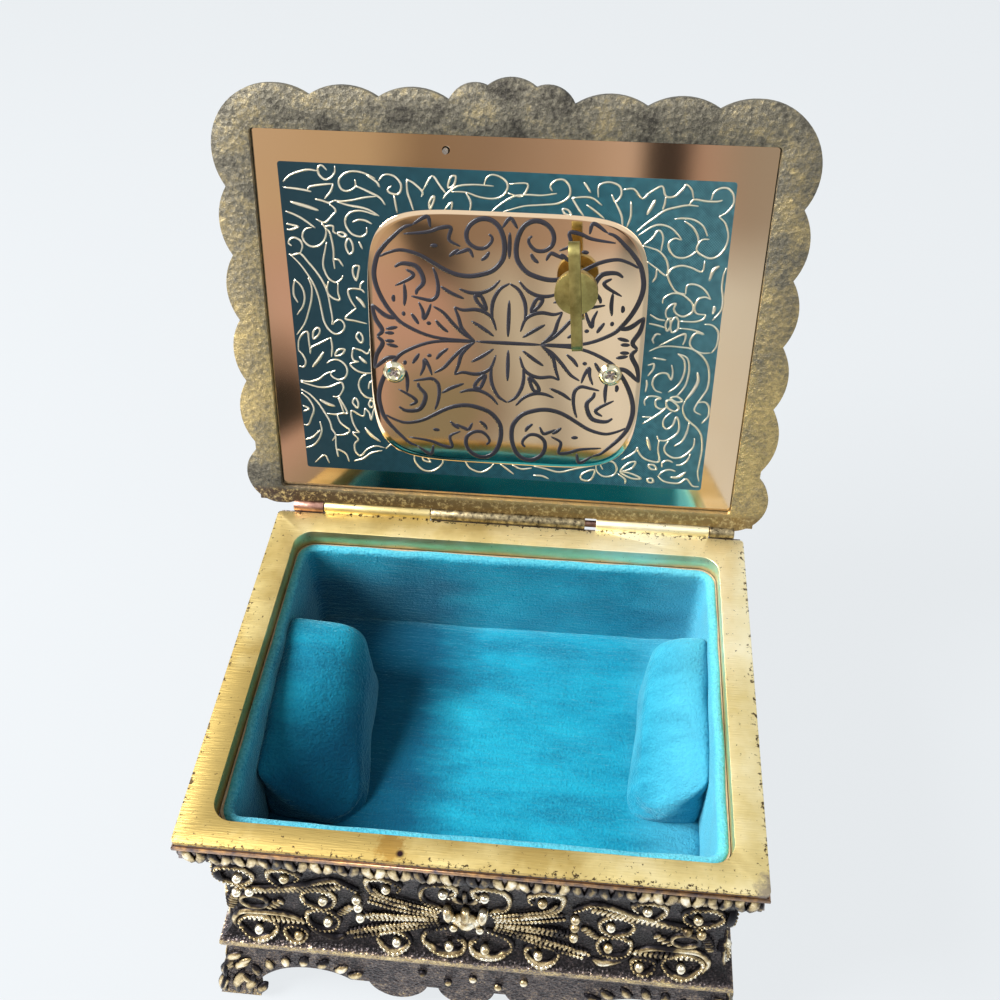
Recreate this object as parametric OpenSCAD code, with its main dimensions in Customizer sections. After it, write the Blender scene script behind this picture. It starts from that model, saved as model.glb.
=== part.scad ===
// Musical keepsake casket: a cast box with a velvet lined well, and a scalloped lid on a long
// hinge that carries a wind-up musical movement behind a mirror plate.
// Frame: X to the right, front towards -Y, Z up, origin on the table under the middle of the rim.
// The lid stands open at rest. Inside the lid, u runs along X, v away from the hinge, and
// w from the plate's bright face into the lid.

/* [Box] */
// Width of the rim, left to right
rim_w = 104; // [87:1:125]
// Depth of the rim, front to back
rim_d = 80; // [70:1:96]
// Height from the table to the top of the rim
body_h = 65; // [56:1:78]
// Least thickness of the cast wall above the bottom plate
wall = 1.6; // [1.2:0.1:2]
// Thickness of the cast apron and feet
apron_wall = 2.2; // [1.6:0.1:2.6]
// Height of the underside seat that the bottom plate lies on
seat_z = 22; // [21.8:0.1:24]

/* [Feet] */
// How far the feet spread beyond the rim
foot_flare = 3; // [1:0.25:4]
// Width of a foot where it stands
foot_w = 8.8; // [7:0.1:11]
// Height of the arch between a foot and the middle of the apron
arch_h = 11.3; // [9:0.1:12.5]
// Height of the apron's edge beside its lobes
apron_z = 8.4; // [7:0.1:10]
// Sideways place of the front ornament's middle
motif_x = -1.5; // [-3:0.1:3]

/* [Rim] */
// Thickness of the rim plate
rim_t = 1.6; // [1.2:0.1:2.4]
// Width of the border at the sides and the back
border = 5.6; // [5:0.1:7]
// Width of the border at the front
border_front = 4.9; // [4.4:0.1:7]
// Corner radius of the opening
opening_r = 4; // [3:0.5:8]
// Corner radius of the rim's outline
rim_r = 0.8; // [0.4:0.1:2]
// Depth of the skirt that locates the rim in the body
skirt_h = 2.8; // [2:0.1:4]
// Thickness of that skirt
skirt_t = 0.55; // [0.4:0.05:0.8]

/* [Lining] */
// Thickness of the tray's card
card_t = 1.2; // [0.8:0.1:1.6]
// Thickness of the velvet covered wall cards
velvet_t = 0.9; // [0.6:0.1:1.2]
// Thickness of the wadding under the floor pad
wadding_t = 9.8; // [6:0.1:12]
// Thickness of the floor pad
pad_t = 4; // [2:0.5:6]
// Depth of the wall cards' edge below the rim
lining_drop = 3.5; // [2.5:0.1:6]
// Depth of the bolsters' tops below the rim
bolster_drop = 5; // [4:0.5:9]
// Width of the left bolster
bolster_left_w = 15.6; // [8:0.1:18]
// Width of the right bolster
bolster_right_w = 10.4; // [8:0.1:18]
// Length of the left bolster
bolster_left_l = 35; // [25:0.5:45]
// Length of the right bolster
bolster_right_l = 32.1; // [25:0.1:45]
// Radius of a bolster's inner edge
bolster_r = 5; // [3:0.5:7]

/* [Hinge] */
// Distance of the hinge axis behind the rim
hinge_out = 1.5; // [1.45:0.05:2]
// Height of the hinge axis over the rim
hinge_up = 0.6; // [0.4:0.05:0.9]
// Outer radius of the knuckles
knuckle_r = 1.35; // [1.2:0.05:1.35]
// Radius of the hinge pin
pin_r = 0.75; // [0.5:0.05:0.8]
// Radial clearance on the hinge pin
pin_fit = 0.05; // [0.03:0.01:0.08]
// Half the length of the lid's middle knuckle
mid_half = 17.2; // [10:0.1:19]
// End play between the lid's middle knuckle and the right rim knuckle
end_play = 2.5; // [0.2:0.1:3]
// Angle from shut to the open stop
lid_open = 106.75; // [90:0.25:110]
// How far the end play lets the lid sit to the left
lid_shift = -1.2; // [-1.4:0.1:0]

/* [Lid] */
// Distance from the hinge axis to the plate
plate_to_hinge = 5; // [4.9:0.1:6]
// How much narrower the plate is than the rim
plate_narrower = 4.86; // [4:0.1:8]
// How much shorter the plate is than the rim's depth
plate_shorter = 3.05; // [2.6:0.05:3.4]
// Thickness of the plate
plate_t = 0.5; // [0.4:0.05:0.8]
// Gap between the shut flange and the rim
shut_gap = 0.2; // [0.1:0.05:0.4]
// Depth of the plate's bright face behind the flange
plate_sink = 1.2; // [1:0.1:1.4]
// Thickness of the flange
flange_t = 1.6; // [1.2:0.1:2]
// Reach of the side lobes beyond the plate
lobe_out = 7.85; // [6:0.05:9]
// Radius of the lobes
lobe_r = 12.4; // [11:0.1:14]
// Spacing of the side lobes
lobe_step = 13.65; // [12:0.05:15]
// Spacing of the front lobes
front_lobe_step = 13.1; // [12:0.05:14]
// Wall of the lid around the movement
lid_wall = 1.5; // [1:0.1:2]
// Height of the dome over the plate's bright face
dome_h = 20.4; // [19:0.1:24]

/* [Movement] */
// Distance from the plate's front edge to the bedplate
bed_edge = 5.45; // [5:0.05:8]
// Thickness of the bedplate
bed_t = 1.5; // [1:0.1:2]
// Outer radius of the spring barrel
barrel_r = 11.5; // [11:0.1:11.8]
// Radius of the pinned drum
drum_r = 6.2; // [5.5:0.1:6.2]
// Number of comb teeth
comb_teeth = 18; // [12:1:18]
// Spacing of the comb teeth
comb_pitch = 1; // [0.9:0.05:1]
// Radius of the air fan
fan_r = 5; // [3:0.1:5.2]
// Length of the winding key's wing
wing_l = 21.5; // [16:0.5:24]
// Thickness of the winding key's wing
wing_t = 2.1; // [1.5:0.1:3]
// Travel of the stop wire
stop_travel = 0.6; // [0.3:0.1:0.7]

/* [Hidden] */
$fn = 48;
eps = 0.5;
deep = 200;

// Fits
slip = 0.15;
push = 0.02;
run = 0.05;
knuckle_gap = 0.2;

// Rim and body
slab_z = body_h - rim_t;
skirt_z = slab_z - skirt_h;
opening_w = rim_w - 2 * border;
opening_d = rim_d - border - border_front;
opening_y = (border_front - border) / 2;
ledge_z = seat_z - 0.6;
cornice_z = slab_z - 5.4;
waist = 4;
well_inset = waist + wall;
well_w = rim_w - 2 * well_inset;
well_d = rim_d - 2 * well_inset;

// Each point is the inset from the rim's outline and the height
outer_profile = [
    [-foot_flare, 0], [-foot_flare + 0.6, 2], [-1.5, 5], [-0.4, 10], [0.6, 15.5], [1, 18.3],
    [0, 19], [-0.2, 20.2], [0, ledge_z], [1.2, ledge_z + 0.7], [2.5, ledge_z + 2.6],
    [3.6, ledge_z + 9.6], [waist, (ledge_z + cornice_z) / 2], [3.8, cornice_z - 11],
    [3.2, cornice_z - 2], [2.6, cornice_z - 0.8], [0.4, cornice_z], [0.1, cornice_z + 0.6],
    [0.4, cornice_z + 3], [0.6, slab_z],
];
under_inset = 2.8;
under_profile = [
    [apron_wall - foot_flare, -1], [apron_wall - foot_flare, 0], [apron_wall - 1.5, 5],
    [apron_wall - 0.4, 10], [under_inset, 16], [under_inset, seat_z],
];
bottom_t = 1.2;
bottom_w = rim_w - 2 * under_inset - 2 * slip;
bottom_d = rim_d - 2 * under_inset - 2 * slip;
bottom_screw_r = 0.65;
bottom_screw_l = 5;
bottom_screw_inset = 4.2;
bottom_screw_at = [
    for (sx = [-1, 1], sy = [-1, 1])
        [sx * (rim_w / 2 - bottom_screw_inset), sy * (rim_d / 2 - bottom_screw_inset)]
];

// Lining, from the body's wall inwards
tray_top = body_h - 4;
card_in = -slip - card_t;
velvet_out = card_in - run;
velvet_in = velvet_out - velvet_t;
pad_z = seat_z + card_t + wadding_t;
floor_z = pad_z + pad_t;
lining_top = body_h - lining_drop;
bolster_x = well_w / 2 + velvet_in - run;
bolster_top = body_h - bolster_drop;
bolster_left_y = -2.3;
bolster_right_y = 1.75;

// Hinge, with the knuckles' spans along X
hinge_y = rim_d / 2 + hinge_out;
hinge_z = body_h + hinge_up;
left_knuckle = [-rim_w / 2 + 3.6, -rim_w / 2 + 10.4];
right_knuckle = [rim_w / 2 - 7.4, rim_w / 2 - 2.1];
rim_left_knuckle = [left_knuckle[1] + knuckle_gap, -mid_half - knuckle_gap];
rim_right_knuckle = [mid_half + end_play, right_knuckle[0] - knuckle_gap];

// Lid, in its own u, v, w
plate_w = rim_w - plate_narrower;
plate_l = rim_d - plate_shorter;
plate_z = body_h + shut_gap + plate_sink;
plate_r = 0.6;
plate_fit = 0.25;
axis_v = -plate_to_hinge;
axis_w = hinge_z - plate_z;
flange_w = -plate_sink;
flange_back = flange_w + flange_t;
hinge_side_v = -plate_to_hinge + hinge_out;
lobe_v = plate_l - 4.1;
seat_w = plate_t;
cavity_in = -0.7;
dome_grow = cavity_in + lid_wall;

// Movement, placed from the bedplate's front edge
bed_v1 = plate_l - bed_edge;
bed_l = 47;
bed_u = [-28.5, 25];
bed_w = plate_t;
bed_top = bed_w + bed_t;
drum_v = bed_v1 - 21.7;
drum_w = 8.8;
drum_u = [-20, -2];
barrel_u = 13.8;
crown_r = 13;
crown_teeth = 52;
crown_w = 5.6;
pinion_teeth = 10;
pinion_r = 2.5;
wheel_teeth = 24;
wheel_r = 6;
second_teeth = 8;
second_r = 2;
second_v = drum_v + wheel_r + second_r;
worm_wheel_teeth = 20;
worm_wheel_r = 5;
worm_r = 1.25;
worm_starts = 2;
worm_lead = worm_starts * 2 * PI * worm_wheel_r / worm_wheel_teeth;
worm_u = -24.6;
worm_v = second_v + worm_wheel_r + worm_r;
worm_w = [5.5, 11.6];
fan_w = [14.4, 16.6];
arm_w = [16.9, 17.5];
arbor_r = 0.55;
worm_pivot_r = 0.4;
winding_r = 2;
key_end_r = 1.4;
screw_r = 1.2;
screw_at = [[-23.5, bed_v1 - 42.9], [21.6, bed_v1 - 40.9]];
wire_r = 0.55;
wire_at = [-12.28, plate_l - 2.75];
wire_out = 1.2;
finger_r = 0.3;
finger_w = fan_w[0] - stop_travel - finger_r - 0.1;
finger_at = [-20.4, bed_v1 - 5.5];
collar_w = [4.4, 4.9];
guide_w = [8.4, 9];
guide_u = [wire_at[0] - 2, wire_at[0] + 2];
guide_screw_at = [wire_at[0], bed_v1 - 3.4];
comb_u0 = (drum_u[0] + drum_u[1] - (comb_teeth - 1) * comb_pitch) / 2;
comb_tip_v = drum_v - drum_r - 0.65;
comb_back_v = bed_v1 - bed_l + 0.1;
comb_screw_v = comb_back_v + 1.7;
comb_screw_u = [-17, -11, -5];
bracket_u = [-28.5, -18.5];
bracket_v0 = bed_v1 - 16.5;
bracket_screw_at = [[-27, bed_v1 - 5.5], [-20, bed_v1 - 9]];
post_u = [worm_u - 1.9, worm_u + 1.9];

// Plain shapes
module rounded(w, d, r) {
    square([w - 2 * r, d], center = true);
    square([w, d - 2 * r], center = true);
    for (sx = [-1, 1], sy = [-1, 1])
        translate([sx * (w / 2 - r), sy * (d / 2 - r)]) circle(r);
}

module slab(z0, z1) {
    translate([0, 0, z0]) linear_extrude(z1 - z0) children();
}

module post(x, y, z0, z1, r) {
    translate([x, y, z0]) cylinder(h = z1 - z0, r = r);
}

module rod_x(x0, x1, y, z, r) {
    translate([x0, y, z]) rotate([0, 90, 0]) cylinder(h = x1 - x0, r = r);
}

module block(x, y, z) {
    translate([x[0], y[0], z[0]]) cube([x[1] - x[0], y[1] - y[0], z[1] - z[0]]);
}

module side_outline(points, width) {
    right = [for (p = points) [width / 2 - p[0], p[1]]];
    left = [for (i = [len(points) - 1 : -1 : 0]) [-right[i][0], right[i][1]]];
    polygon(concat(right, left));
}

// A box whose four sides share one profile and meet in mitres
module mitred_box(points) {
    intersection() {
        rotate([90, 0, 0]) linear_extrude(rim_d + 20, center = true) side_outline(points, rim_w);
        rotate([90, 0, 90]) linear_extrude(rim_w + 20, center = true) side_outline(points, rim_d);
    }
}

module opening(grow = 0) {
    translate([0, opening_y])
        rounded(opening_w + 2 * grow, opening_d + 2 * grow, opening_r + grow);
}

module well(grow = 0) {
    rounded(well_w + 2 * grow, well_d + 2 * grow, opening_r + grow);
}

module toothed(count, root, tip, thick_root, thick_tip, turn = 0) {
    circle(root);
    for (i = [0 : count - 1])
        rotate(turn + i * 360 / count)
            polygon([
                [root - 0.2, -thick_root / 2], [tip, -thick_tip / 2],
                [tip, thick_tip / 2], [root - 0.2, thick_root / 2],
            ]);
}

// The apron's cut on one side: an arch by each foot and lobes left hanging in the middle
module apron_cut(width, lobes, shift) {
    arch_r = 14;
    arch_x = width / 2 - 17.5;
    foot_x = width / 2 + foot_flare - foot_w;
    difference() {
        union() {
            intersection() {
                for (s = [-1, 1])
                    translate([s * arch_x, arch_h - arch_r]) circle(arch_r);
                translate([-foot_x, -eps]) square([2 * foot_x, 30]);
            }
            translate([-arch_x, -eps]) square([2 * arch_x, apron_z + eps]);
        }
        translate([shift, 9.6]) circle(6);
        if (lobes > 1)
            for (s = [-1, 1])
                translate([shift + s * 14.4, 10.5]) circle(6.5);
    }
}

// Box
module casket_body() {
    color("dimgray") difference() {
        mitred_box(outer_profile);
        mitred_box(under_profile);
        slab(seat_z - eps, body_h) well();
        slab(skirt_z - slip, body_h) opening(skirt_t + run);
        rotate([90, 0, 0])
            linear_extrude(deep, center = true) apron_cut(rim_w, 2, motif_x);
        rotate([90, 0, 90])
            linear_extrude(deep, center = true) apron_cut(rim_d, 1, 0);
        for (p = bottom_screw_at)
            post(p[0], p[1], seat_z - eps, seat_z + bottom_screw_l, bottom_screw_r + run);
    }
}

module rim_frame() {
    color("gold") difference() {
        union() {
            slab(slab_z, body_h) rounded(rim_w, rim_d, rim_r);
            slab(skirt_z, slab_z + eps) opening(skirt_t);
            for (span = [rim_left_knuckle, rim_right_knuckle]) {
                rod_x(span[0], span[1], hinge_y, hinge_z, knuckle_r);
                block(span, [rim_d / 2 - eps, hinge_y], [hinge_z - knuckle_r, body_h]);
            }
        }
        slab(skirt_z - eps, body_h + eps) opening();
        rod_x(-rim_w, rim_w, hinge_y, hinge_z, pin_r + pin_fit);
    }
}

module hinge_pin() {
    color("tan")
        rod_x(left_knuckle[0] + 0.1, right_knuckle[1] - 0.2, hinge_y, hinge_z, pin_r);
}

module bottom_plate() {
    color("saddlebrown") difference() {
        slab(seat_z - bottom_t, seat_z) rounded(bottom_w, bottom_d, 1);
        for (p = bottom_screw_at)
            post(p[0], p[1], 0, seat_z + eps, bottom_screw_r + run);
    }
}

module bottom_screws() {
    color("silver")
        for (p = bottom_screw_at)
            difference() {
                union() {
                    post(p[0], p[1], seat_z - bottom_t - 1, seat_z - bottom_t, 1.3);
                    post(p[0], p[1], seat_z - bottom_t, seat_z + bottom_screw_l - 0.5,
                         bottom_screw_r);
                }
                translate([p[0], p[1], seat_z - bottom_t - 1])
                    cube([deep, 0.4, 0.9], center = true);
            }
}

// Lining
module card_tray() {
    color("tan") difference() {
        slab(seat_z, tray_top) well(-slip);
        slab(seat_z + card_t, deep) well(card_in);
    }
}

module floor_wadding() {
    color("white") slab(seat_z + card_t, pad_z) well(velvet_out);
}

module lining_floor() {
    color("deepskyblue") slab(pad_z, floor_z) well(velvet_out);
}

module wall_card() {
    color("deepskyblue") slab(floor_z, lining_top) intersection() {
        difference() {
            well(velvet_out);
            well(velvet_in);
        }
        children();
    }
}

module lining_end(s) {
    split = well_d / 2 - opening_r - velvet_t;
    wall_card() translate([0, s * (split + deep / 2)]) square(deep, center = true);
}

module lining_side(s) {
    split = well_d / 2 - opening_r - velvet_t - run;
    wall_card() translate([s * deep / 2, 0]) square([deep, 2 * split], center = true);
}

module lining_front() { lining_end(-1); }
module lining_back() { lining_end(1); }
module lining_left() { lining_side(-1); }
module lining_right() { lining_side(1); }

module bolster(width, length, y) {
    height = bolster_top - floor_z;
    color("turquoise") translate([0, y, floor_z]) rotate([90, 0, 0])
        linear_extrude(length, center = true) {
            square([width - bolster_r, height]);
            square([width, height - bolster_r]);
            translate([width - bolster_r, height - bolster_r]) circle(bolster_r);
        }
}

module bolster_left() {
    translate([-bolster_x, 0, 0]) bolster(bolster_left_w, bolster_left_l, bolster_left_y);
}

module bolster_right() {
    mirror([1, 0, 0]) translate([-bolster_x, 0, 0])
        bolster(bolster_right_w, bolster_right_l, bolster_right_y);
}

// Lid, drawn in u, v, w and set at the open angle
module in_lid() {
    translate([0, hinge_y, hinge_z]) rotate([-lid_open, 0, 0])
        translate([lid_shift, -plate_to_hinge, plate_z - hinge_z])
            mirror([0, 1, 0]) children();
}

module plate_outline(grow, r) {
    translate([0, plate_l / 2]) rounded(plate_w + 2 * grow, plate_l + 2 * grow, r);
}

// Lobes along the sides and the front, and a crown of three in the middle of the front
module scalloped() {
    side_u = plate_w / 2 + lobe_out - lobe_r;
    front_v = plate_l + lobe_out + 0.45 - lobe_r;
    skirt_u = plate_w / 2 + 5.3;
    translate([-skirt_u, hinge_side_v]) square([2 * skirt_u, plate_l - hinge_side_v]);
    translate([-plate_w / 2, 0]) square([plate_w, plate_l + 5.3]);
    for (s = [-1, 1]) {
        for (v = [lobe_v : -lobe_step : 10]) translate([s * side_u, v]) circle(lobe_r);
        for (u = [plate_w / 2 - 5.07 : -front_lobe_step : 14])
            translate([s * u, front_v]) circle(lobe_r);
        translate([s * (plate_w / 2 + 0.43), 3]) circle(7.4);
        translate([s * 6.7, plate_l + 9.5 - 5.5]) circle(5.5);
    }
    translate([0, plate_l + 10.6 - 7.4]) circle(7.4);
}

module lid_knuckle(span) {
    translate([-lid_shift, 0, 0]) {
        rod_x(span[0], span[1], axis_v, axis_w, knuckle_r);
        block(span, [axis_v, axis_v + 3.5], [flange_w + 0.1, flange_back]);
    }
}

module thin_slab(w, grow, r) {
    slab(w, w + 0.1) plate_outline(grow, r, $fn = 32);
}

module dome(grow, top, r) {
    hull() {
        thin_slab(0, grow, r);
        thin_slab(top - 5, grow, r);
        thin_slab(top - 2.2, grow - 1.6, r + 1);
        thin_slab(top - 0.1, grow - 7, r + 4);
    }
}

module lid_shell() {
    color("darkgoldenrod") in_lid() difference() {
        union() {
            slab(flange_w, flange_back) scalloped();
            slab(flange_back - 0.1, flange_back + 2) plate_outline(dome_grow + 1.4, 4);
            dome(dome_grow, dome_h, 4);
            lid_knuckle(left_knuckle);
            lid_knuckle([-mid_half, mid_half]);
            lid_knuckle(right_knuckle);
        }
        slab(flange_w - eps, seat_w) plate_outline(plate_fit, plate_r + plate_fit);
        difference() {
            dome(cavity_in, dome_h - lid_wall, 3);
            slab(-eps, seat_w - 0.1) plate_outline(2, plate_r);
        }
        rod_x(-rim_w, rim_w, axis_v, axis_w, pin_r + pin_fit);
    }
}

module mirror_plate() {
    color("lightsteelblue") in_lid() difference() {
        slab(0, plate_t) plate_outline(0, plate_r);
        post(barrel_u, drum_v, -eps, deep, winding_r + 0.6);
        post(wire_at[0], wire_at[1], -eps, deep, wire_r + 0.2);
        for (p = screw_at) post(p[0], p[1], -eps, deep, screw_r + run);
    }
}

module movement_screws() {
    color("silver") in_lid()
        for (p = screw_at)
            difference() {
                union() {
                    post(p[0], p[1], -1.2, 0, 2.5);
                    post(p[0], p[1], -0.1, bed_top + 1, screw_r);
                }
                translate([p[0], p[1], -1.2]) rotate(40) cube([deep, 0.6, 1], center = true);
            }
}

// Movement frame
module bedplate() {
    color("silver") in_lid() difference() {
        union() {
            block(bed_u, [bed_v1 - bed_l, bed_v1], [bed_w, bed_top]);
            block([-20.5, -1.5], [bed_v1 - bed_l + 0.1, bed_v1 - 40.5], [bed_w, drum_w - 0.6]);
            for (u = [[-24.6, -23.2], [-1.7, -0.5]])
                block(u, [drum_v - 2.2, drum_v + 2.2], [bed_w, drum_w + 2.2]);
            post(barrel_u, drum_v, bed_w, crown_w - 1.1, winding_r + 2);
            for (p = screw_at) post(p[0], p[1], bed_w, bed_top + 1.2, screw_r + 1.4);
        }
        post(barrel_u, drum_v, 0, deep, winding_r + run);
        rod_x(-deep, 0, drum_v, drum_w, arbor_r + run);
        for (p = screw_at) post(p[0], p[1], 0, deep, screw_r + run);
        for (u = comb_screw_u) post(u, comb_screw_v, bed_top, deep, 0.8 + run);
        for (p = bracket_screw_at) post(p[0], p[1], 0, deep, 0.6 + run);
        post(guide_screw_at[0], guide_screw_at[1], 0, deep, 0.6 + run);
    }
}

module comb() {
    color("gainsboro") in_lid() slab(drum_w - 0.6, drum_w + 0.2) difference() {
        union() {
            polygon([
                [-20.4, comb_back_v], [-1.6, comb_back_v],
                [-1.6, comb_back_v + 6.4], [-20.4, comb_back_v + 3.6],
            ]);
            for (i = [0 : comb_teeth - 1])
                translate([comb_u0 + i * comb_pitch - 0.35, comb_back_v + 2])
                    square([0.7, comb_tip_v - comb_back_v - 2]);
        }
        for (u = comb_screw_u) translate([u, comb_screw_v]) circle(0.8 + run);
    }
}

module comb_screws() {
    color("steelblue") in_lid()
        for (u = comb_screw_u)
            difference() {
                union() {
                    post(u, comb_screw_v, drum_w + 0.2, drum_w + 1.2, 1.5);
                    post(u, comb_screw_v, bed_top + 0.2, drum_w + 0.3, 0.8);
                }
                translate([u, comb_screw_v, drum_w + 1.2]) cube([0.4, deep, 0.8], center = true);
            }
}

module governor_bracket() {
    plate_top = drum_w + 2;
    color("silver") in_lid() difference() {
        union() {
            block(bracket_u, [bracket_v0, bed_v1], [bed_top, bed_top + 1]);
            block([-28.5, -27.7], [bracket_v0 + 0.5, bed_v1 - 10.5], [bed_top, plate_top]);
            block([-19.6, -18.8], [second_v - 0.7, bed_v1 - 10.5], [bed_top, plate_top]);
            block(post_u, [bed_v1 - 1.2, bed_v1], [bed_top, arm_w[1]]);
            block(post_u, [worm_v - 1.5, bed_v1], arm_w);
        }
        rod_x(-deep, 0, second_v, drum_w, arbor_r + run);
        post(worm_u, worm_v, bed_top + 0.5, deep, worm_pivot_r + run);
        for (p = bracket_screw_at) post(p[0], p[1], 0, deep, 0.6 + run);
    }
}

module governor_screws() {
    color("steelblue") in_lid()
        for (p = concat(bracket_screw_at, [guide_screw_at]))
            difference() {
                union() {
                    post(p[0], p[1], bed_top + 1, bed_top + 1.8, 1.1);
                    post(p[0], p[1], bed_w + 0.1, bed_top + 1.1, 0.6);
                }
                translate([p[0], p[1], bed_top + 1.8]) cube([0.3, deep, 0.7], center = true);
            }
}

module wire_guide() {
    color("silver") in_lid() difference() {
        union() {
            block(guide_u, [bed_v1 - 5.5, bed_v1], [bed_top, bed_top + 1]);
            block(guide_u, [bed_v1 - 0.8, bed_v1], [bed_top, guide_w[1]]);
            block(guide_u, [bed_v1 - 0.8, wire_at[1] + 1.6], guide_w);
        }
        post(wire_at[0], wire_at[1], 0, deep, wire_r + run);
        post(guide_screw_at[0], guide_screw_at[1], 0, deep, 0.6 + run);
    }
}

// A coil of round wire, swept along a helix
module coil(radius, wire, height, turns) {
    per_turn = 12;
    sides = 6;
    rings = turns * per_turn;
    ring = function(i) [
        for (j = [0 : sides - 1])
            let (a = 360 * i / per_turn, b = 360 * j / sides, r = radius + wire * cos(b))
                [r * cos(a), r * sin(a), wire + (height - 2 * wire) * i / rings + wire * sin(b)]
    ];
    points = [for (i = [0 : rings]) each ring(i)];
    walls = [
        for (i = [0 : rings - 1], j = [0 : sides - 1])
            let (k = (j + 1) % sides)
                [i * sides + j, i * sides + k, (i + 1) * sides + k, (i + 1) * sides + j]
    ];
    first = [for (j = [sides - 1 : -1 : 0]) j];
    last = [for (j = [0 : sides - 1]) rings * sides + j];
    polyhedron(points, concat(walls, [first], [last]), convexity = 8);
}

module wire_spring() {
    color("silver") in_lid() translate([wire_at[0], wire_at[1], collar_w[1]])
        coil(1, 0.16, guide_w[0] - collar_w[1], 4);
}

// Winding
module winding_key() {
    color("khaki") in_lid() translate([barrel_u, drum_v, 0]) difference() {
        union() {
            post(0, 0, -5.4, -0.7, winding_r + 0.3);
            post(0, 0, -7.3, -5, 4.2);
            rotate(4.7) translate([0, 0, -9.3]) rotate([0, 90, 0])
                linear_extrude(wing_t, center = true) {
                    square([4.4, wing_l - 4.4], center = true);
                    for (s = [-1, 1]) translate([0, s * (wing_l / 2 - 2.2)]) circle(2.2);
                }
        }
        post(0, 0, -4.9, 0, key_end_r + push);
    }
}

module winding_arbor() {
    color("silver") in_lid() {
        post(barrel_u, drum_v, -4.8, bed_w + 0.2, key_end_r);
        post(barrel_u, drum_v, bed_w + 0.1, 16.9, winding_r);
        post(barrel_u, drum_v, 15.6, 16.4, winding_r + 1.2);
    }
}

module spring_barrel() {
    color("goldenrod") in_lid() translate([barrel_u, drum_v, 0]) difference() {
        union() {
            post(0, 0, crown_w - 1, crown_w, crown_r + 1);
            post(0, 0, crown_w - 0.1, 15.5, barrel_r);
            for (i = [0 : crown_teeth - 1])
                rotate((i + 0.5) * 360 / crown_teeth)
                    translate([crown_r - 0.8, -0.25, crown_w - 0.1]) cube([1.6, 0.5, 1.3]);
        }
        post(0, 0, crown_w + 0.8, deep, barrel_r - 0.8);
        post(0, 0, 0, deep, winding_r + run);
    }
}

module barrel_cap() {
    color("gold") in_lid() translate([barrel_u, drum_v, 0]) difference() {
        post(0, 0, 14.7, 15.5, barrel_r - 0.8 - push);
        post(0, 0, 0, deep, winding_r + run);
    }
}

module mainspring() {
    turns = 5;
    per_turn = 20;
    thick = 0.35;
    r0 = winding_r + 0.5;
    r1 = barrel_r - 1.4;
    count = turns * per_turn;
    inner = [
        for (i = [0 : count])
            let (a = 360 * i / per_turn, r = r0 + (r1 - r0) * i / count)
                [r * cos(a), r * sin(a)]
    ];
    outer = [
        for (i = [count : -1 : 0])
            let (a = 360 * i / per_turn, r = r0 + thick + (r1 - r0) * i / count)
                [r * cos(a), r * sin(a)]
    ];
    color("slategray") in_lid() translate([barrel_u, drum_v, 0])
        slab(crown_w + 1.1, 14.4) polygon(concat(inner, outer));
}

// Drum, with one row of pins for each comb tooth
module pinned_drum() {
    rows = 5;
    color("goldenrod") in_lid() {
        rod_x(drum_u[0], drum_u[1], drum_v, drum_w, drum_r);
        rod_x(-24.5, 1.6, drum_v, drum_w, arbor_r);
        for (i = [0 : comb_teeth - 1], k = [0 : rows - 1])
            translate([comb_u0 + i * comb_pitch, drum_v, drum_w])
                rotate([25 + k * 360 / rows + (i * 137 + k * 31) % 60, 0, 0])
                    cylinder(h = drum_r + 0.5, r = 0.22);
    }
}

module on_drum_axis(u, v) {
    translate([u, v, drum_w]) rotate([0, 90, 0]) children();
}

module drum_pinion() {
    color("silver") in_lid() on_drum_axis(0, drum_v) linear_extrude(1.6) difference() {
        toothed(pinion_teeth, pinion_r - 0.6, pinion_r + 0.45, 0.7, 0.42);
        circle(arbor_r + push);
    }
}

module drum_wheel() {
    color("gold") in_lid() on_drum_axis(-22.2, drum_v) linear_extrude(1.2) difference() {
        toothed(wheel_teeth, wheel_r - 0.6, wheel_r + 0.4, 0.7, 0.36);
        circle(arbor_r + push);
    }
}

module second_arbor() {
    color("silver") in_lid() {
        rod_x(-28.4, -18.9, second_v, drum_w, arbor_r);
        on_drum_axis(-22.2, second_v) linear_extrude(1.2)
            toothed(second_teeth, second_r - 0.65, second_r + 0.4, 0.62, 0.34, 180 / second_teeth);
    }
}

module worm_wheel() {
    color("gold") in_lid() on_drum_axis(worm_u - 0.4, second_v) linear_extrude(0.8)
        difference() {
            toothed(worm_wheel_teeth, worm_wheel_r - 0.5, worm_wheel_r + 0.35, 0.55, 0.3);
            circle(arbor_r + push);
        }
}

// A twin thread, turned so that a groove faces the worm wheel at the drum's height
module governor_worm() {
    length = worm_w[1] - worm_w[0];
    turn = 360 * (drum_w - worm_w[0]) / worm_lead;
    step = 20;
    color("lightgray") in_lid() translate([worm_u, worm_v, 0]) {
        translate([0, 0, worm_w[0]]) rotate(turn)
            linear_extrude(length, twist = 360 * length / worm_lead, slices = 24)
                polygon([
                    for (a = [0 : step : 359])
                        let (r = abs((a + 90) % 180 - 90) <= step ? worm_r + 0.35 : worm_r - 0.45)
                            [r * cos(a), r * sin(a)]
                ]);
        post(0, 0, bed_top + 0.6, arm_w[1] - 0.1, worm_pivot_r);
    }
}

module air_fan() {
    color("gold") in_lid() translate([worm_u, worm_v, 0]) difference() {
        union() {
            post(0, 0, fan_w[0], fan_w[1], 0.9);
            block([-0.2, 0.2], [-fan_r, fan_r], fan_w);
        }
        post(0, 0, 0, deep, worm_pivot_r + push);
    }
}

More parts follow.
